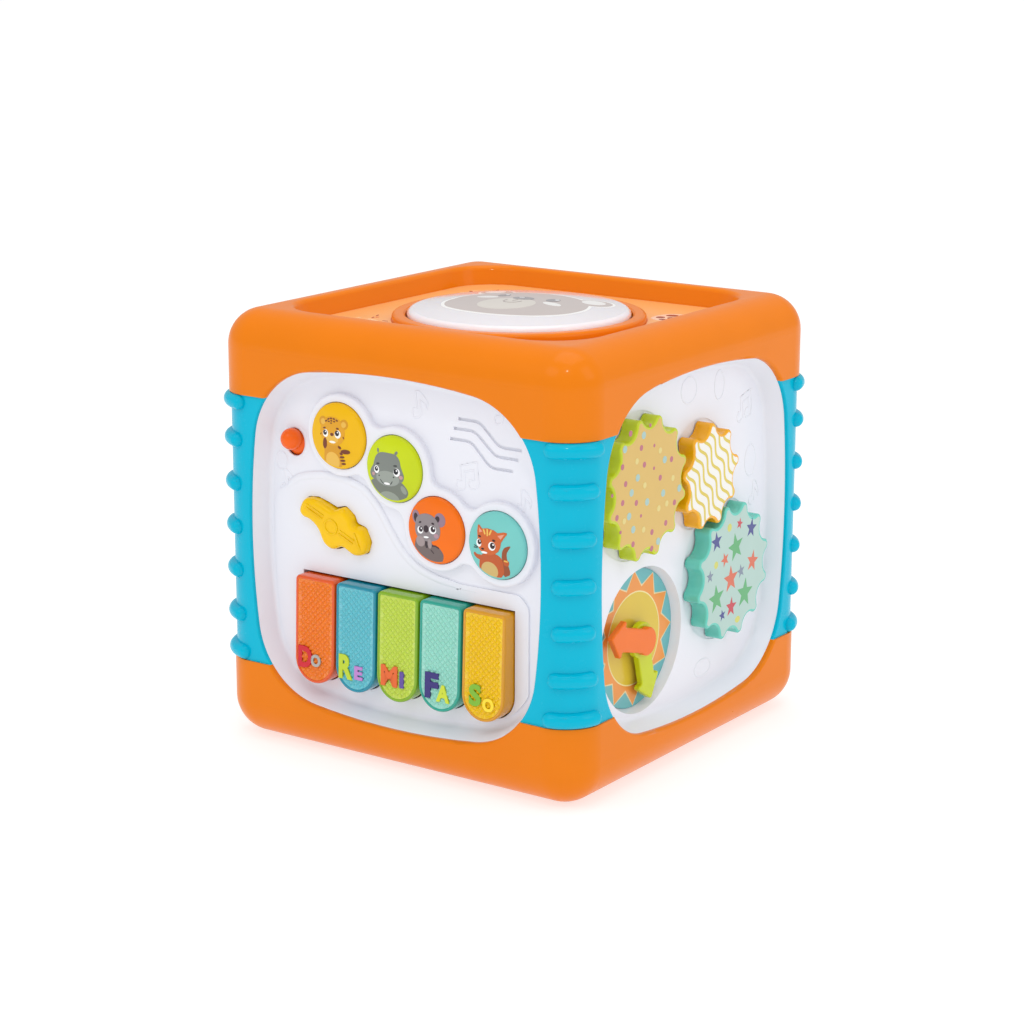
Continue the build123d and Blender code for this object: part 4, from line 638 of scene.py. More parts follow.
w, d, g = eyes([((51.5, 129.6, 1.6, 2.05), (51.9, 130.1, 1.2)), ((59.7, 129.1, 2.15, 2.2), (60.1, 129.4, 1.5))])
CAT = [
    ("tail", (150, 74, 38), [
        smooth([(66.0, 114.8), (65.5, 121.0), (65.6, 126.5), (67.2, 129.4), (70.4, 130.4), (69.3, 128.3), (68.3, 126.0),
                (68.8, 121.5), (69.8, 117.0), (68.6, 114.6)])]),
    ("body", (190, 86, 32), [
        smooth([(51.4, 119.5), (52.4, 123.0), (56.0, 125.2), (62.0, 125.2), (65.2, 123.4), (66.2, 119.5), (66.0, 115.5),
                (62.0, 111.8), (56.0, 111.6), (52.2, 114.2), (51.2, 117.0)]),
        smooth([(52.8, 123.4), (50.2, 123.5), (48.5, 124.4), (47.9, 123.4), (49.2, 121.8), (52.2, 121.0)]),
        smooth([(66.4, 122.4), (68.0, 123.4), (69.6, 122.0), (68.8, 120.0), (66.8, 120.4)])]),
    ("belly", (206, 176, 108), [ell(57.6, 116.2, 5.2, 4.5)]),
    ("head", (206, 98, 38), [
        dense([(50.6, 132.0), (50.2, 135.5), (50.5, 138.6), (51.4, 138.6), (53.2, 137.0), (56.5, 137.6), (60.5, 137.2),
               (62.8, 136.1), (66.6, 137.0), (68.2, 136.8), (68.2, 136.0), (66.5, 133.8), (65.0, 131.5), (64.6, 128.9),
               (63.4, 126.8), (61.4, 125.2), (58.6, 124.3), (55.2, 124.3), (52.6, 125.6), (50.9, 127.4), (50.2, 129.8)])]),
    ("earpink", (232, 158, 132), [[(51.3, 137.4), (51.5, 134.8), (53.5, 135.6)], [(62.9, 134.8), (66.9, 136.0), (64.9, 133.2)]]),
    ("stripe", (238, 190, 88), [stroke([(54.3, 136.6), (55.2, 134.8)], 0.9, curved=False),
                                stroke([(56.6, 137.0), (56.8, 134.2)], 0.9, curved=False),
                                stroke([(59.0, 136.8), (58.1, 134.8)], 0.9, curved=False),
                                stroke([(67.0, 122.6), (68.6, 122.4)], 0.7, curved=False)]),
    ("white", (250, 250, 250), w + [ell(54.9, 125.2, 1.9, 0.55)]),
    ("dark", (44, 26, 26), [ell(51.9, 133.0, 0.9, 0.45, -10), ell(60.8, 132.1, 0.95, 0.5, -10), ell(53.9, 126.9, 0.9, 0.5),
                            stroke([(50.4, 127.4), (48.4, 128.0)], 0.3, curved=False),
                            stroke([(50.4, 126.9), (48.2, 126.8)], 0.3, curved=False)] + d),
    ("glint", (252, 252, 252), g),
]

for prefix, body, (cx, cz), layers, slot in (
        ("leopard", "leopard_button", (-38.0, 171.6), LEOPARD, "button_yellow"),
        ("hippo", "hippo_button", (-2.5, 159.1), HIPPO, "button_lime"),
        ("koala", "koala_button", (23.7, 131.1), KOALA, "button_orange"),
        ("cat", "cat_button", (61.3, 129.1), CAT, "button_mint")):
    picture(prefix, layers, on_front(button_depth(cx, cz)), body, clip=ell(cx, cz, 15.9, n=110), grid=1.6)

# ------------------------------------------------------------------ bear on the drum
bear_head = [(-38.5, 6), (-38.5, -6), (-36, -17), (-28, -27), (-15, -32.5), (0, -34), (14, -31.5), (25, -26), (33, -18),
             (37.5, -8), (38.0, 4), (34, 15), (27, 24), (16, 31), (4, 34.5), (-8, 34.5), (-20, 30), (-30, 22)]
BEAR = [
    ("outline", (249, 249, 247), [smooth([(x * 1.045, y * 1.055) for x, y in bear_head], 1.2), ell(-32.5, 25.5, 10.2), ell(30.5, 26.0, 11.2)]),
    ("head", (196, 184, 180), [smooth(bear_head, 1.2), ell(-32.5, 25.5, 8.8), ell(30.5, 26.0, 9.8)]),
    ("light", (216, 209, 200), [ell(-3.0, -7.5, 15, 16.5)]),
    ("ears", (240, 239, 237), [ell(-34.0, 26.5, 5.6, 6.0, 20), ell(29.5, 27.0, 6.6, 6.2, -15),
                               ell(-24.5, 5.8, 6.0, 3.2, 14), ell(17.5, 5.0, 6.4, 3.2, -16)]),
    ("grey", (146, 143, 147), [ell(-4.5, 10.5, 6.2, 4.6), ell(-20.0, 15.0, 3.1, 4.3), ell(11.5, 15.2, 3.6, 4.6)]),
    ("mouth", (176, 166, 162), [stroke([(-9.0, 1.4), (-8.0, -3.0), (-4.2, -5.0), (-0.6, -2.8), (0.4, 1.4)], 0.9),
                                stroke([(-4.4, 6.5), (-4.3, 0.5)], 0.8, curved=False)]),
    ("glint", (246, 246, 246), [ell(-18.8, 16.6, 1.1), ell(13.0, 16.8, 1.3), ell(-6.6, 12.2, 1.5, 0.9, 20)]),
]
picture("bear", BEAR, on_top(dome_height), "drum", grid=2.6, first=0.06, step=0.04)

# ------------------------------------------------------------------ printed tray label
TOPZ = on_top(220.8)


def note(cx, cz, s, lean=0.0, double=False):
    """Loops of a music note: head, stem and flag."""
    c, sn = math.cos(math.radians(lean)), math.sin(math.radians(lean))

    def tr(p):
        return (cx + s * (p[0] * c - p[1] * sn), cz + s * (p[0] * sn + p[1] * c))
    shapes = [[tr(p) for p in ell(0, 0, 1.3, 0.95, 20)],
              [tr(p) for p in [(0.85, 0.1), (1.3, 0.1), (1.3, 5.2), (0.85, 5.2)]]]
    if double:
        shapes += [[tr(p) for p in ell(4.0, 0.5, 1.3, 0.95, 20)],
                   [tr(p) for p in [(4.85, 0.6), (5.3, 0.6), (5.3, 5.7), (4.85, 5.7)]],
                   [tr(p) for p in [(0.85, 4.2), (5.3, 4.7), (5.3, 5.9), (0.85, 5.4)]]]
    else:
        shapes += [[tr(p) for p in smooth([(1.2, 5.2), (2.2, 4.2), (3.0, 2.9), (2.7, 1.9), (2.3, 3.0), (1.2, 3.7)], 0.4)]]
    return shapes


plate("tray_mushroom_pale", [smooth([(54, 50), (57, 59), (64, 62), (71, 58), (73, 49), (69, 42), (62, 39), (56, 42)], 1.2)],
      TOPZ, 0.06, ink((250, 208, 178), coat=0.2), "root")
plate("tray_mushroom_spots", [ell(67.5, 57.5, 3.2, 2.2, -30), ell(61.0, 55.5, 3.4, 2.6, 20), ell(58.5, 47.5, 2.4, 2.6),
                              ell(65.0, 49.0, 2.9, 2.7), ell(69.5, 48.5, 1.9, 3.0, 15), ell(63.5, 42.6, 3.0, 1.8)],
      TOPZ, 0.10, ink((140, 40, 34), coat=0.2), "root")
conf_a, conf_b, conf_c = [], [], []
rng = np.random.default_rng(7)
for cx, cy in ((-64, -46), (62, -58), (-62, 58)):
    for k in range(9):
        a, r = rng.uniform(0, 360), rng.uniform(1.5, 12.5)
        x, y = cx + r * math.cos(math.radians(a)), cy + r * math.sin(math.radians(a))
        if abs(x) > 84 or abs(y) > 84 or math.hypot(x, y) < 70.5:
            continue
        (conf_a, conf_b, conf_c)[k % 3].append(
            ell(x, y, 1.1) if k % 3 == 0 else (star(x, y, 1.9, a) if k % 3 == 1 else ell(x, y, 2.0, 0.6, a)))
conf_b += note(-70, -53, 1.7, -25, True) + note(-57, -62, 1.6, -35) + note(72, -62, 1.7, 20) + note(-74, 52, 1.6, 10, True)
for nm, shapes, rgb in (("pink", conf_a, (232, 104, 70)), ("cream", conf_b, (250, 214, 170)), ("plum", conf_c, (178, 70, 60))):
    plate("tray_confetti_" + nm, shapes, TOPZ, 0.06, ink(rgb, coat=0.2), "root")


# ------------------------------------------------------------------ gears' stickers
def r2t(y, z, d):
    """Point seen on the face plane moved to its place at depth d."""
    return y + (y + 1106) * d / 654.5, z + (z - 456.55) * d / 654.5


GEARS = {"green": (-45.2, 152.9, 12, 37.0, 31.5, 13.9),
         "yellow": (16.5, 147.2, 9, 28.1, 22.6, 9.1),
         "mint": (41.5, 90.8, 12, 37.0, 31.5, 12.5)}
GFACE = on_right(4.5)
out_green = gear_outline(*GEARS["green"], inset=1.5)
out_yellow = gear_outline(*GEARS["yellow"], inset=1.5)
out_mint = gear_outline(*GEARS["mint"], inset=1.5)


def dots(points, r, small=0.62):
    res = []
    for p in points:
        y, z = r2t(p[0], p[1], 4.5)
        res.append(ell(y, z, r * (small if len(p) > 2 else 1.0), n=18))
    return res


picture("green_gear", [
    ("tan", (216, 180, 98), [out_green]),
    ("mauve", (186, 108, 122), dots([(-74, 161.5), (-57, 168), (-48, 164.5, 1), (-42, 158.5), (-31.5, 166), (-76.5, 152.5),
                                     (-81.5, 146), (-64, 150), (-59.5, 142.5, 1), (-66.5, 129.5), (-49, 132), (-49, 123.5),
                                     (-28, 143), (-77, 170.5), (-78, 138, 1), (-48, 176, 1), (-60, 177), (-36, 134),
                                     (-70, 186), (-52, 187, 1), (-86, 158, 1)], 1.55)),
    ("blue", (164, 196, 190), dots([(-63, 162.5), (-68.5, 156), (-70.5, 144.5), (-54, 148.5), (-39, 150), (-23.5, 149.5),
                                    (-66.5, 137), (-75, 179), (-38, 167), (-43, 126), (-58, 183)], 1.9)),
    ("yellow", (222, 204, 128), dots([(-56.5, 157.5), (-42.5, 172.5), (-75, 143), (-35.5, 144), (-43, 143), (-57, 135),
                                     (-64, 171), (-30, 156)], 1.6)),
], GFACE, "green_gear")

waves = []
for k in range(-9, 10):
    pts = []
    for i in range(-34, 35):
        t = i * 1.3
        off = k * 5.4 + 1.7 * math.sin(2 * math.pi * (t + k * 1.2) / 17.5)
        a = math.radians(-56.0)
        pts.append((16.5 + t * math.cos(a) - off * math.sin(a), 147.2 + t * math.sin(a) + off * math.cos(a)))
    waves.append(stroke(pts, 1.7, curved=False))
plate("yellow_gear_white", [out_yellow], GFACE, 0.05, ink((238, 236, 230)), "yellow_gear")
plate("yellow_gear_waves", waves, GFACE, 0.09, ink((218, 196, 82)), "yellow_gear", clip=out_yellow)

STARS = {"navy": ((66, 72, 138), [(15, 113, 5.6, 95), (51, 113, 5.6, 80), (22.5, 71.5, 3.4, 100)]),
         "red": ((196, 62, 74), [(38.5, 118, 3.3, 75), (31.5, 74, 5.7, 85)]),
         "green": ((92, 172, 112), [(35, 106, 8.0, 100), (16, 82, 8.0, 96), (45.5, 78.5, 8.5, 84)]),
         "coral": ((214, 106, 76), [(24, 101.5, 4.2, 110), (53, 94.5, 6.2, 78), (30.5, 89.5, 7.6, 92)]),
         "grey": ((128, 140, 158), [(9, 95.5, 3.6, 88), (41, 91.5, 4.0, 100)])}
layers = [("sheet", (176, 204, 196), [out_mint])]
for nm, (rgb, items) in STARS.items():
    layers.append((nm, rgb, [star(*r2t(y, z, 4.5), r, t) for y, z, r, t in items]))
layers.append(("yellow", (206, 206, 104), [ell(*r2t(28, 118, 4.5), 2.2), ell(*r2t(15, 100.5, 4.5), 2.0), ell(*r2t(38.5, 65.5, 4.5), 2.6, 1.8)]))
for i, (nm, rgb, shapes) in enumerate(layers):
    plate("mint_gear_" + nm, shapes, GFACE, 0.05 if i == 0 else 0.085, ink(rgb), "mint_gear")

# ------------------------------------------------------------------ clock print
CY, CZ = -35.4, 70.0
CF = on_right(18.5)
rays = []
for k in range(12):
    a = math.radians(30 * k)
    rays += [(CY + 35.6 * math.cos(a), CZ + 35.6 * math.sin(a)),
             (CY + 27.0 * math.cos(a + math.radians(15)), CZ + 27.0 * math.sin(a + math.radians(15)))]
rays_line = []
for k in range(12):
    a = math.radians(30 * k)
    rays_line += [(CY + 36.2 * math.cos(a), CZ + 36.2 * math.sin(a)),
                  (CY + 28.0 * math.cos(a + math.radians(15)), CZ + 28.0 * math.sin(a + math.radians(15)))]
plate("clock_ray_edge", [dense(rays_line, 2)], CF, 0.04, ink((236, 214, 160), coat=0.2), "root")
plate("clock_rays", [dense(rays, 2)], CF, 0.07, ink((236, 150, 66), coat=0.2), "root")
plate("clock_sun_edge", [ell(CY, CZ, 24.9, n=96)], CF, 0.10, ink((240, 226, 160), coat=0.2), "root")
plate("clock_sun", [ell(CY, CZ, 24.2, n=96)], CF, 0.13, ink((222, 192, 62), coat=0.2), "root")

# ------------------------------------------------------------------ raised notes and rings on the white panels
PF = on_front(13.5)
RF = on_right(13.5)
BF = on_back(13.5)
LF = on_left(13.5)
WH = M["white"]


def ring(cx, cy, rx, ry, wd=0.9, rot=0):
    return [ell(cx, cy, rx, ry, rot, n=56), ell(cx, cy, rx - wd, ry - wd, rot, n=56)]


def note_line(cx, cy, s, lean=0.0, double=False):
    """Note drawn as a raised outline."""
    c, sn = math.cos(math.radians(lean)), math.sin(math.radians(lean))

    def tr(p):
        return (cx + s * (p[0] * c - p[1] * sn), cy + s * (p[0] * sn + p[1] * c))
    if double:
        body = [(-1.5, 0.2), (-1.2, -1.1), (0.2, -1.3), (1.5, -0.5), (1.6, 3.6), (4.6, 4.2), (4.6, 1.6), (3.2, 1.5), (2.4, 0.4),
                (3.0, -0.8), (4.6, -0.9), (5.9, 0.2), (5.9, 6.3), (0.4, 5.2), (0.4, 1.3), (-0.8, 1.3)]
    else:
        body = [(-1.5, 0.2), (-1.2, -1.1), (0.2, -1.3), (1.5, -0.4), (1.6, 3.4), (3.1, 2.2), (3.6, 0.9), (4.0, 2.6), (3.0, 4.4),
                (1.6, 5.8), (0.4, 5.8), (0.4, 1.3), (-0.8, 1.3)]
    pts = [tr(p) for p in body]
    return pts


def outline_band(points, wd):
    """Closed line of this width along the polygon, as outer and inner loops."""
    pts = np.array(dense(points, 0.7), float)
    n = len(pts)
    area = 0.5 * sum(pts[i][0] * pts[(i + 1) % n][1] - pts[(i + 1) % n][0] * pts[i][1] for i in range(n))
    sgn = 1.0 if area > 0 else -1.0
    d = np.roll(pts, -1, axis=0) - np.roll(pts, 1, axis=0)
    d /= np.linalg.norm(d, axis=1)[:, None] + 1e-9
    nrm = np.stack((-d[:, 1], d[:, 0]), axis=1) * sgn
    return [[tuple(map(float, p)) for p in pts - nrm * wd / 2], [tuple(map(float, p)) for p in pts + nrm * wd / 2]]


def raised(name, shapes, surf, body="root", h=0.22):
    plate(name, shapes, surf, h, WH, body, bottom=-0.3, bevel=0.2)


raised("front_note_a", [outline_band(note_line(8.5, 188.5, 1.9, 8), 1.0)], PF)
raised("front_note_b", [outline_band(note_line(35.5, 155.2, 1.9, 6, True), 1.0)], PF)
raised("front_note_c", [outline_band(note_line(71.5, 148.2, 1.7, 0), 1.0)], PF)
raised("front_note_d", [outline_band(note_line(-78.5, 138.0, 1.7, 5), 1.0)], PF)
raised("front_note_e", [outline_band(note_line(58.5, 191.0, 1.6, -6), 1.0)], PF)
raised("front_ring_a", [ring(-80.0, 152.5, 4.2, 5.0)], PF)
raised("right_ring_a", [ring(*r2t(-15.7, 198.6, 13.5), 8.2, 7.4)], RF)
raised("right_ring_b", [ring(*r2t(14.3, 196.4, 13.5), 5.4, 8.2)], RF)
raised("right_note_a", [outline_band(note_line(*r2t(36, 176.0, 13.5), 2.0, 4, True), 1.0)], RF)
raised("right_ring_c", [ring(*r2t(47.9, 150.7, 13.5), 6.2, 9.0)], RF)
raised("right_ring_d", [ring(*r2t(2.9, 47.9, 13.5), 8.6, 5.0)], RF)
raised("right_note_b", [outline_band(note_line(74.0, 122.0, 1.8, -4), 1.0)], RF)
raised("back_note_a", [outline_band(note_line(-66, 160, 2.1, 6, True), 1.0)], BF)
raised("back_note_b", [outline_band(note_line(60, 156, 2.1, -6), 1.0)], BF)
raised("back_ring_a", [ring(-54, 120, 5.0, 6.2)], BF)
raised("back_ring_b", [ring(58, 112, 6.0, 5.0)], BF)
raised("left_note_a", [outline_band(note_line(-68, 150, 2.1, 6), 1.0)], LF)
raised("left_note_b", [outline_band(note_line(58, 156, 2.1, -6, True), 1.0)], LF)
raised("left_ring_a", [ring(-60, 112, 5.6, 5.2)], LF)
raised("left_ring_b", [ring(62, 114, 5.0, 6.0)], LF)


PLATEAU_LINE = [(-79.0, 139.0), (-72.0, 143.4), (-66.0, 146.5), (-53.0, 149.0), (-40.0, 149.0), (-31.5, 147.4), (-24.0, 144.4), (-17.5, 138.6),
                (-12.0, 131.5), (-6.0, 122.8), (0.0, 115.6), (6.6, 110.6), (14.0, 107.4), (24.0, 105.2), (36.0, 104.4), (46.0, 104.3)]
line = curve_points(PLATEAU_LINE, 0.8)
lxy = np.array(line)
tang = np.gradient(lxy, axis=0)
tang /= np.linalg.norm(tang, axis=1)[:, None]
nrm = np.stack((-tang[:, 1], tang[:, 0]), axis=1)
ease = np.clip(np.minimum((lxy[:, 0] + 79.0) / 7.0, (40.0 - lxy[:, 0]) / 22.0), 0.0, 1.0)
ease = ease * ease * (3.0 - 2.0 * ease)
lip_out = [tuple(map(float, p)) for p in lxy + nrm * (-1.2 + 2.5 * ease)[:, None]]
lip_in = [tuple(map(float, p)) for p in lxy - nrm * 3.4]
plate("plateau_lip", [lip_out + lip_in[::-1]], on_front(12.5), 0.06, WH, "root", bottom=-1.4, bevel=0.7)


# ------------------------------------------------------------------ piano keys
KEY_W, KEY_TOP, KEY_BOTTOM = 26.0, 95.0, 38.1


def key_loop(kx, e, n_arc=28, n_corner=6, n_side=22, n_top=12):
    """Key outline seen from the front, set in by e: same point count at any e."""
    hw, zc, ztop = KEY_W / 2 - e, KEY_BOTTOM + KEY_W / 2, KEY_TOP - e
    rc = max(2.5 - e, 0.9)
    pts = []
    for i in range(n_arc):                        # lower half circle, left to right
        a = math.pi + math.pi * i / n_arc
        pts.append((kx + hw * math.cos(a), zc + hw * math.sin(a)))
    for i in range(n_side):
        pts.append((kx + hw, zc + (ztop - rc - zc) * i / n_side))
    for i in range(n_corner):
        a = math.pi / 2 * i / n_corner
        pts.append((kx + hw - rc + rc * math.cos(a), ztop - rc + rc * math.sin(a)))
    for i in range(n_top):
        pts.append((kx + (hw - rc) * (1 - 2 * i / n_top), ztop))
    for i in range(n_corner):
        a = math.pi / 2 + math.pi / 2 * i / n_corner
        pts.append((kx - hw + rc + rc * math.cos(a), ztop - rc + rc * math.sin(a)))
    for i in range(n_side):
        pts.append((kx - hw, ztop - rc - (ztop - rc - zc) * i / n_side))
    return pts


def build_key(node, body, kx, mat):
    verts, faces = [], []

    def P(x, z, depth):
        return Vector((x, -(W2 - depth), z)) * MM

    # textured front
    pitch = 3.25
    half = pitch / 2
    base = key_loop(kx, 1.75)
    inner = key_loop(kx, 2.05)
    pts, height, index, edges = [], [], {}, []

    def vid(x, z, h):
        k = (round(x, 3), round(z, 3))
        if k not in index:
            index[k] = len(pts)
            pts.append(Vector((k[0], k[1])))
            height.append(h)
        return index[k]

    loop_ids = [vid(x, z, 0.0) for x, z in base]
    for i in range(len(loop_ids)):
        edges.append((loop_ids[i], loop_ids[(i + 1) % len(loop_ids)]))
    ni, nj = 9, 20
    cand = {}
    zmid = 66.0
    for i in range(-ni, ni + 1):
        for j in range(-nj, nj + 1):
            cand[(i, j)] = (kx + i * half, zmid + j * half)
    xy = np.array([cand[k] for k in cand])
    ok = inside(xy[:, 0], xy[:, 1], inner)
    good = {k for k, o in zip(cand, ok) if o}
    lat = {}
    for k in good:
        h = 0.58 if (k[0] + k[1]) % 2 == 0 else -0.46
        lat[k] = vid(cand[k][0], cand[k][1], h)
    for (i, j) in good:
        if (i + 1, j) in good and (i, j + 1) in good and (i + 1, j + 1) in good:
            if (i + j) % 2 == 0:
                edges.append((lat[(i + 1, j)], lat[(i, j + 1)]))
            else:
                edges.append((lat[(i, j)], lat[(i + 1, j + 1)]))
            edges.append((lat[(i, j)], lat[(i + 1, j)]))
            edges.append((lat[(i, j)], lat[(i, j + 1)]))
    v2, e2, f2, ov = delaunay_2d_cdt(pts, edges, [], 0, 1e-5, True)[:4]
    vv = np.array([(v[0], v[1]) for v in v2])
    hh = [height[o[0]] if o else 0.0 for o in ov]
    tri = [tuple(f) for f in f2 if len(f) == 3]
    cen = np.array([vv[list(t)].mean(0) for t in tri])
    keep = inside(cen[:, 0], cen[:, 1], [tuple(p) for p in base])
    remap = {}
    for v, o in enumerate(ov):
        for q in o:
            remap[q] = v
    for v in range(len(vv)):
        x, z = vv[v]
        verts.append(P(x, z, front_d(z) - hh[v]))
    for t, k in zip(tri, keep):
        if not k:
            continue
        a, b, c = t
        area = (vv[b][0] - vv[a][0]) * (vv[c][1] - vv[a][1]) - (vv[c][0] - vv[a][0]) * (vv[b][1] - vv[a][1])
        faces.append((a, b, c) if area > 0 else (a, c, b))
    ring_ids = [remap[i] for i in loop_ids]

    def bridge(r0, r1):
        n = len(r0)
        for i in range(n):
            j = (i + 1) % n
            faces.append((r0[j], r0[i], r1[i], r1[j]))

    def add_ring(e, depth_of):
        ids = []
        for x, z in key_loop(kx, e):
            ids.append(len(verts))
            verts.append(P(x, z, depth_of(z)))
        return ids

    front_faces = len(faces)
    prev = ring_ids
    for e, up in ((1.55, 0.30), (1.35, 0.40), (1.0, 0.42), (0.65, 0.34), (0.34, 0.10), (0.12, -0.35), (0.0, -0.95)):
        cur = add_ring(e, lambda z, u=up: front_d(z) - u)
        bridge(prev, cur)
        prev = cur
    for e, dep in ((0.0, 16.6), (0.3, 17.0), (1.5, 17.0), (1.8, 16.7)):
        cur = add_ring(e, lambda z, q=dep: q)
        bridge(prev, cur)
        prev = cur
    cur = add_ring(1.8, lambda z: front_d(z) + 2.4)
    bridge(prev, cur)
    prev = cur
    cur = add_ring(2.4, lambda z: front_d(z) + 1.8)
    bridge(prev, cur)
    # inner cap
    lp = key_loop(kx, 2.4)
    pv = [Vector(p) for p in lp]
    ed = [(i, (i + 1) % len(lp)) for i in range(len(lp))]
    w2, _, g2 = delaunay_2d_cdt(pv, ed, [], 0, 1e-6, False)[:3]
    ww = np.array([(v[0], v[1]) for v in w2])
    tri2 = [tuple(f) for f in g2 if len(f) == 3]
    cc = np.array([ww[list(t)].mean(0) for t in tri2])
    kp = inside(cc[:, 0], cc[:, 1], lp)
    for t, k in zip(tri2, kp):
        if not k:
            continue
        a, b, c = t
        area = (ww[b][0] - ww[a][0]) * (ww[c][1] - ww[a][1]) - (ww[c][0] - ww[a][0]) * (ww[b][1] - ww[a][1])
        a, b, c = (cur[a], cur[b], cur[c])
        faces.append((a, c, b) if area < 0 else (a, b, c))
    # hinge barrel
    nseg, L, ro, ri = 32, KEY_W / 2 - 1.0, 3.6, 1.56
    rings = []
    for r, x in ((ro, kx - L), (ro, kx + L), (ri, kx + L), (ri, kx - L)):
        ids = []
        for i in range(nseg):
            a = 2 * math.pi * i / nseg
            ids.append(len(verts))
            verts.append(Vector((x, -W2 + 17.5 + r * math.cos(a), 91.0 + r * math.sin(a))) * MM)
        rings.append(ids)
    for r0, r1 in zip(rings, rings[1:] + rings[:1]):
        for i in range(nseg):
            j = (i + 1) % nseg
            faces.append((r0[i], r0[j], r1[j], r1[i]))
    # every face after the textured front takes the second material, the darker copy of the key plastic that is painted
    # shade
    ob = make_object(node + "_shell", verts, faces, mat, body, soft=34,
                     face_mats=[0] * front_faces + [1] * (len(faces) - front_faces))
    bm = bmesh.new()
    bm.from_mesh(ob.data)
    loose = [v for v in bm.verts if not v.link_faces]
    bmesh.ops.delete(bm, geom=loose, context="VERTS")
    bmesh.ops.recalc_face_normals(bm, faces=bm.faces)
    bm.to_mesh(ob.data)
    bm.free()
    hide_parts(node)
    return ob


LETTERS = [  # key index, character, x, z, width, height, colour
    (0, "D", -61.0, 50.2, 9.0, 11.6, (206, 20, 40)), (0, "O", -53.9, 49.2, 6.4, 6.6, (176, 172, 166)),
    (1, "R", -33.9, 49.6, 9.0, 13.0, (190, 210, 44)), (1, "E", -25.5, 47.6, 5.2, 7.2, (190, 132, 204)),
    (2, "M", -5.6, 50.0, 10.4, 11.0, (228, 102, 40)), (2, "I", 2.5, 49.2, 2.6, 8.6, (94, 74, 156)),
    (3, "F", 21.6, 50.0, 8.4, 13.6, (52, 42, 118)), (3, "A", 28.7, 46.8, 8.2, 9.0, (204, 218, 54)),
    (4, "S", 48.6, 50.0, 7.2, 11.4, (124, 182, 46)), (4, "O", 56.8, 46.2, 6.8, 7.0, (248, 220, 50)),
]


def letter(name, char, x, z, wd, ht, mat, body):
    cu = bpy.data.curves.new(name + "_curve", "FONT")
    cu.body = char
    cu.size = 1.0
    cu.offset = 0.045
    cu.resolution_u = 5
    cu.fill_mode = "BOTH"
    cu.extrude = 0.02
    tmp = bpy.data.objects.new(name + "_tmp", cu)
    bpy.context.scene.collection.objects.link(tmp)
    dg = bpy.context.evaluated_depsgraph_get()
    me = bpy.data.meshes.new_from_object(tmp.evaluated_get(dg))
    bpy.data.objects.remove(tmp)
    bpy.data.curves.remove(cu)
    bm = bmesh.new()
    bm.from_mesh(me)
    bmesh.ops.remove_doubles(bm, verts=bm.verts, dist=1e-5)
    xs = [v.co.x for v in bm.verts]
    ys = [v.co.y for v in bm.verts]
    zs = [v.co.z for v in bm.verts]
    x0, x1, y0, y1, z0, z1 = min(xs), max(xs), min(ys), max(ys), min(zs), max(zs)
    for v in bm.verts:
        u = x + ((v.co.x - x0) / (x1 - x0) - 0.5) * wd
        q = z + ((v.co.y - y0) / (y1 - y0) - 0.5) * ht
        t = (v.co.z - z0) / (z1 - z0)
        v.co = Vector((u, -(W2 - front_d(q)) - (-0.1 + 0.85 * t), q)) * MM
    bmesh.ops.recalc_face_normals(bm, faces=bm.faces)
    bm.to_mesh(me)
    bm.free()
    me.name = name
    me.materials.clear()
    me.materials.append(mat)
    ob = bpy.data.objects.new(name, me)
    bpy.context.scene.collection.objects.link(ob)
    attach(ob, body)
    return ob


for i, (node, body, rgb, shaded_edge_rgb, word) in enumerate(KEYS):
    kx = 1.8 + 27.0 * (i - 2)
    mat = material(node + "_translucent", rgb, rough=0.10, spread=0.03, vary=0.03, coat=0.7, coat_rough=0.03,
                   transmission=0.10, ior=1.49, bump=0.02, sss=0.15, sss_r=0.002, spec=0.3)
    # edge material: the same key plastic made darker and deeper, painted shade on the rim, sides, inner cap and hinge
    # barrel
    edge = material(node + "_edge", shaded_edge_rgb, rough=0.12, spread=0.04, vary=0.03, coat=0.6, coat_rough=0.05,
                    transmission=0.08, ior=1.49, bump=0.02, spec=0.3)
    build_key(node, body, kx, [mat, edge])
    for k, char, x, z, wd, ht, col in LETTERS:
        if k == i:
            letter("letter_%s_%s" % (word, char), char, x + 2.8, z + 1.4, wd, ht, ink(col), body)

# ------------------------------------------------------------------ guitar light: domed lens with raised strings, bridge and sound hole
GUITAR = [(-65.0, 129.5), (-61.5, 135.6), (-54.7, 136.3), (-48.3, 134.5), (-42.5, 132.4), (-36.5, 133.9),
          (-31.1, 129.9), (-29.4, 125.9), (-23.6, 124.4), (-20.3, 117.6), (-22.2, 111.5), (-29.0, 109.5),
          (-36.8, 112.6), (-43.4, 110.6), (-49.0, 113.2), (-53.0, 120.3), (-57.8, 124.1), (-63.0, 125.6)]
LENS = outline_band(smooth(GUITAR, 0.8), 0.6)[1]
LENS_XZ = np.array(LENS)


def lens_depth(u, v):
    a = LENS_XZ
    b = np.roll(LENS_XZ, -1, axis=0)
    d = b - a
    t = np.clip(((u - a[:, 0]) * d[:, 0] + (v - a[:, 1]) * d[:, 1]) / (d ** 2).sum(1), 0, 1)
    near = float(np.hypot(u - a[:, 0] - t * d[:, 0], v - a[:, 1] - t * d[:, 1]).min())
    k = 1.0 - min(near / 2.8, 1.0)
    return 7.5 + 2.6 * (1.0 - math.sqrt(1.0 - k * k))


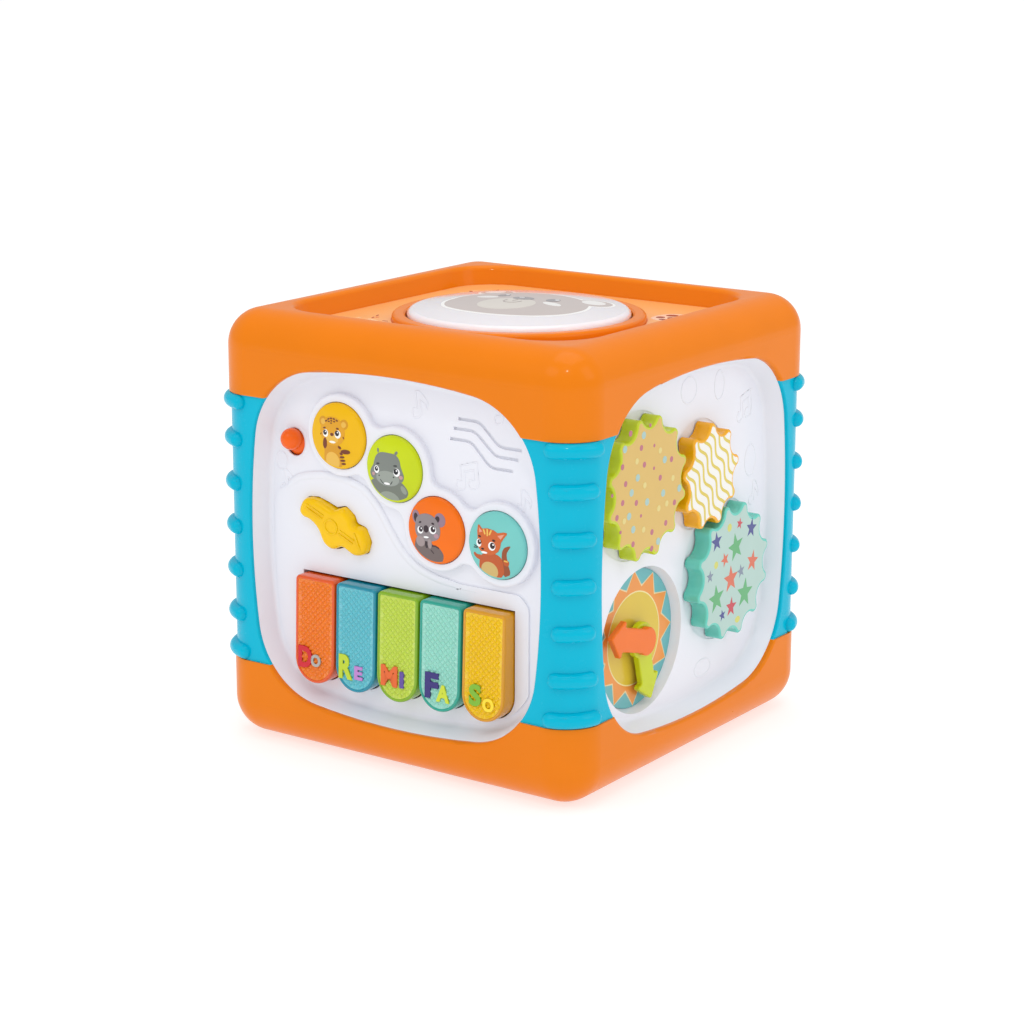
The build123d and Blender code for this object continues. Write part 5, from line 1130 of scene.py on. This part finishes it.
LS = on_front(lens_depth)
lens = plate("guitar_lens", [LENS], LS, 0.0, AMBER, "guitar", bottom=-7.0, grid=0.6)
lens.data.set_sharp_from_angle(angle=math.radians(75))
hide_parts("guitar_button")
plate("guitar_detail", [
    [ell(-43.0, 123.2, 4.6, 4.2, -25, n=48), ell(-43.0, 123.2, 3.6, 3.2, -25, n=48)],
    stroke([(-59.5, 131.4), (-49.0, 126.8)], 0.9, curved=False),
    stroke([(-58.6, 133.0), (-48.2, 128.6)], 0.9, curved=False),
    stroke([(-37.6, 120.2), (-29.0, 116.4)], 0.9, curved=False),
    stroke([(-36.8, 122.0), (-28.2, 118.2)], 0.9, curved=False),
    stroke([(-27.6, 121.6), (-24.2, 113.8)], 1.3, curved=False),
], LS, 0.5, AMBER, "guitar", bottom=-0.4, bevel=0.25, grid=1.5)

# ------------------------------------------------------------------ speaker cloth, and the lever's round skirt and bezel
CLOTH = material("speaker_cloth_white", (232, 233, 240), rough=0.7, spread=0.03, vary=0.02, coat=0.0, bump=0.5, bump_scale=1400.0, spec=0.1)
plate("speaker_cloth", [[(26.0, 160.5), (76.0, 160.5), (76.0, 191.5), (26.0, 191.5)]], on_front(14.9), 0.04, CLOTH, "root",
      bottom=-0.04)
plate("lever_bezel", [[ell(-70.7, 163.5, 8.8, n=72), ell(-70.7, 163.5, 6.4, 7.4, n=64)]], on_front(13.5), 0.14, WH, "root",
      bottom=-0.75, bevel=0.14)
cap_v, cap_f = [], []
CAP_A, CAP_B = 40, 18
for rad in (9.85, 9.1):
    cap_v.append(Vector((-70.7, -93.0 - rad, 163.5)) * MM)
    for q in range(1, CAP_B + 1):
        th = math.radians(66.0) * q / CAP_B
        for k in range(CAP_A):
            ph = 2 * math.pi * k / CAP_A
            cap_v.append(Vector((-70.7 + rad * math.sin(th) * math.cos(ph), -93.0 - rad * math.cos(th), 163.5 + rad * math.sin(th) * math.sin(ph))) * MM)
CAP_N = 1 + CAP_A * CAP_B
for s0, flip in ((0, False), (CAP_N, True)):
    for k in range(CAP_A):
        kk = (k + 1) % CAP_A
        f = (s0, s0 + 1 + k, s0 + 1 + kk)
        cap_f.append(f[::-1] if flip else f)
        for q in range(CAP_B - 1):
            a0 = s0 + 1 + q * CAP_A
            f = (a0 + k, a0 + CAP_A + k, a0 + CAP_A + kk, a0 + kk)
            cap_f.append(f[::-1] if flip else f)
last = 1 + CAP_A * (CAP_B - 1)
for k in range(CAP_A):
    kk = (k + 1) % CAP_A
    cap_f.append((last + k, CAP_N + last + k, CAP_N + last + kk, last + kk))
skirt = make_object("lever_skirt", cap_v, cap_f, M["lever"], "lever", soft=50)
bm = bmesh.new()
bm.from_mesh(skirt.data)
bmesh.ops.recalc_face_normals(bm, faces=bm.faces)
bm.to_mesh(skirt.data)
bm.free()

# ------------------------------------------------------------------ back spinner and slider prints
SP = on_back(6.5)
swirl = []
for k in range(3):
    a0 = math.radians(150 + 120 * k)
    pts = []
    for i in range(14):
        t = i / 13
        r = 6.5 + 21.5 * t
        a = a0 + 0.55 * t
        pts.append((r * math.cos(a), 149.0 + r * math.sin(a)))
    swirl.append(stroke(pts, 3.2))
plate("spinner_swirl", swirl, SP, 0.06, ink((250, 214, 60)), "spinner")
plate("spinner_hub_ring", [[ell(0, 149, 5.6, n=48), ell(0, 149, 4.4, n=48)]], SP, 0.4, M["b_orange"], "spinner",
      bottom=-0.2, bevel=0.2)
plate("spinner_dots", [ell(29.0 * math.cos(math.radians(a)), 149 + 29.0 * math.sin(math.radians(a)), 1.2) for a in range(0, 360, 20)],
      SP, 0.07, ink((120, 206, 198)), "spinner")

lines = []
for k in range(9):
    a = math.radians(270 - 32 + 8 * k)
    c, s = math.cos(a), math.sin(a)
    lines.append(ell(90.2 * c, 150 + 90.2 * s, 1.3 if k % 4 else 2.0, n=20))
plate("slider_marks", [p for p in lines if min(q[1] for q in p) > 36], BF, 0.06, ink((244, 130, 40)), "root")


# ------------------------------------------------------------------ floor, light and camera
def stage_material():
    mat = bpy.data.materials.new("studio_floor")
    mat.use_nodes = True
    nt = mat.node_tree
    bsdf = nt.nodes["Principled BSDF"]
    tex = nt.nodes.new("ShaderNodeTexCoord")
    noise = nt.nodes.new("ShaderNodeTexNoise")
    noise.inputs["Scale"].default_value = 3.0
    ramp = nt.nodes.new("ShaderNodeValToRGB")
    ramp.color_ramp.elements[0].color = (0.45, 0.452, 0.455, 1)
    ramp.color_ramp.elements[1].color = (0.46, 0.46, 0.46, 1)
    nt.links.new(tex.outputs["Object"], noise.inputs["Vector"])
    nt.links.new(noise.outputs["Fac"], ramp.inputs["Fac"])
    nt.links.new(ramp.outputs["Color"], bsdf.inputs["Base Color"])
    bsdf.inputs["Roughness"].default_value = 0.9
    bsdf.inputs["Specular IOR Level"].default_value = 0.1
    bsdf.inputs["Emission Color"].default_value = (1, 1, 1, 1)
    bsdf.inputs["Emission Strength"].default_value = 0.64
    return mat


fm = bpy.data.meshes.new("floor")
R = 30.0
fm.from_pydata([(R * math.cos(2 * math.pi * i / 64), R * math.sin(2 * math.pi * i / 64), -0.0002) for i in range(64)], [],
               [tuple(range(64))])
fm.materials.append(stage_material())
floor = bpy.data.objects.new("floor", fm)
bpy.context.scene.collection.objects.link(floor)

world = bpy.data.worlds.new("studio")
bpy.context.scene.world = world
world.use_nodes = True
wn = world.node_tree
bg = wn.nodes["Background"]
bg.inputs["Color"].default_value = (1.0, 1.0, 1.0, 1)
path = wn.nodes.new("ShaderNodeLightPath")
dim = wn.nodes.new("ShaderNodeMapRange")      # white tent, flagged down where it would haze the gloss
dim.inputs["To Min"].default_value = 0.83
dim.inputs["To Max"].default_value = 0.55
wn.links.new(path.outputs["Is Glossy Ray"], dim.inputs["Value"])
wn.links.new(dim.outputs["Result"], bg.inputs["Strength"])


def area(name, loc, target, size, power, colour=(1, 1, 1)):
    li = bpy.data.lights.new(name, "AREA")
    li.shape = "RECTANGLE"
    li.size, li.size_y = size
    li.energy = power
    li.color = colour
    ob = bpy.data.objects.new(name, li)
    ob.location = loc
    d = Vector(target) - Vector(loc)
    ob.rotation_euler = d.to_track_quat("-Z", "Y").to_euler()
    bpy.context.scene.collection.objects.link(ob)
    return ob


area("key_softbox", (-0.35, -1.25, 1.35), (0, 0, 0.10), (0.9, 0.7), 2.4)
area("side_softbox", (1.35, 0.15, 1.1), (0, 0, 0.10), (0.7, 0.9), 2.3)
area("corner_softbox", (0.75, -1.15, 1.75), (0, 0, 0.15), (0.08, 0.08), 2.6)
area("top_softbox", (0.0, 0.1, 1.7), (0, 0, 0.1), (1.2, 1.2), 6.0)

cam = bpy.data.cameras.new("camera")
cam.sensor_width = 36.0
cam.lens = 90.55
cam.clip_end = 100.0
camera = bpy.data.objects.new("camera", cam)
bpy.context.scene.collection.objects.link(camera)
right = Vector((0.81936, 0.57328, 0.0))
up = Vector((-0.14076, 0.20118, 0.96939))
back = Vector((0.55573, -0.79428, 0.24553))
roll = 0.002245
r2 = right * math.cos(roll) + up * math.sin(roll)
u2 = up * math.cos(roll) - right * math.sin(roll)
camera.matrix_world = Matrix((
    (r2.x, u2.x, back.x, 0.7695), (r2.y, u2.y, back.y, -1.1060), (r2.z, u2.z, back.z, 0.45655), (0, 0, 0, 1)))
bpy.context.scene.camera = camera
bpy.context.scene.view_settings.view_transform = "Standard"
bpy.context.scene.view_settings.look = "None"

bpy.context.view_layer.update()
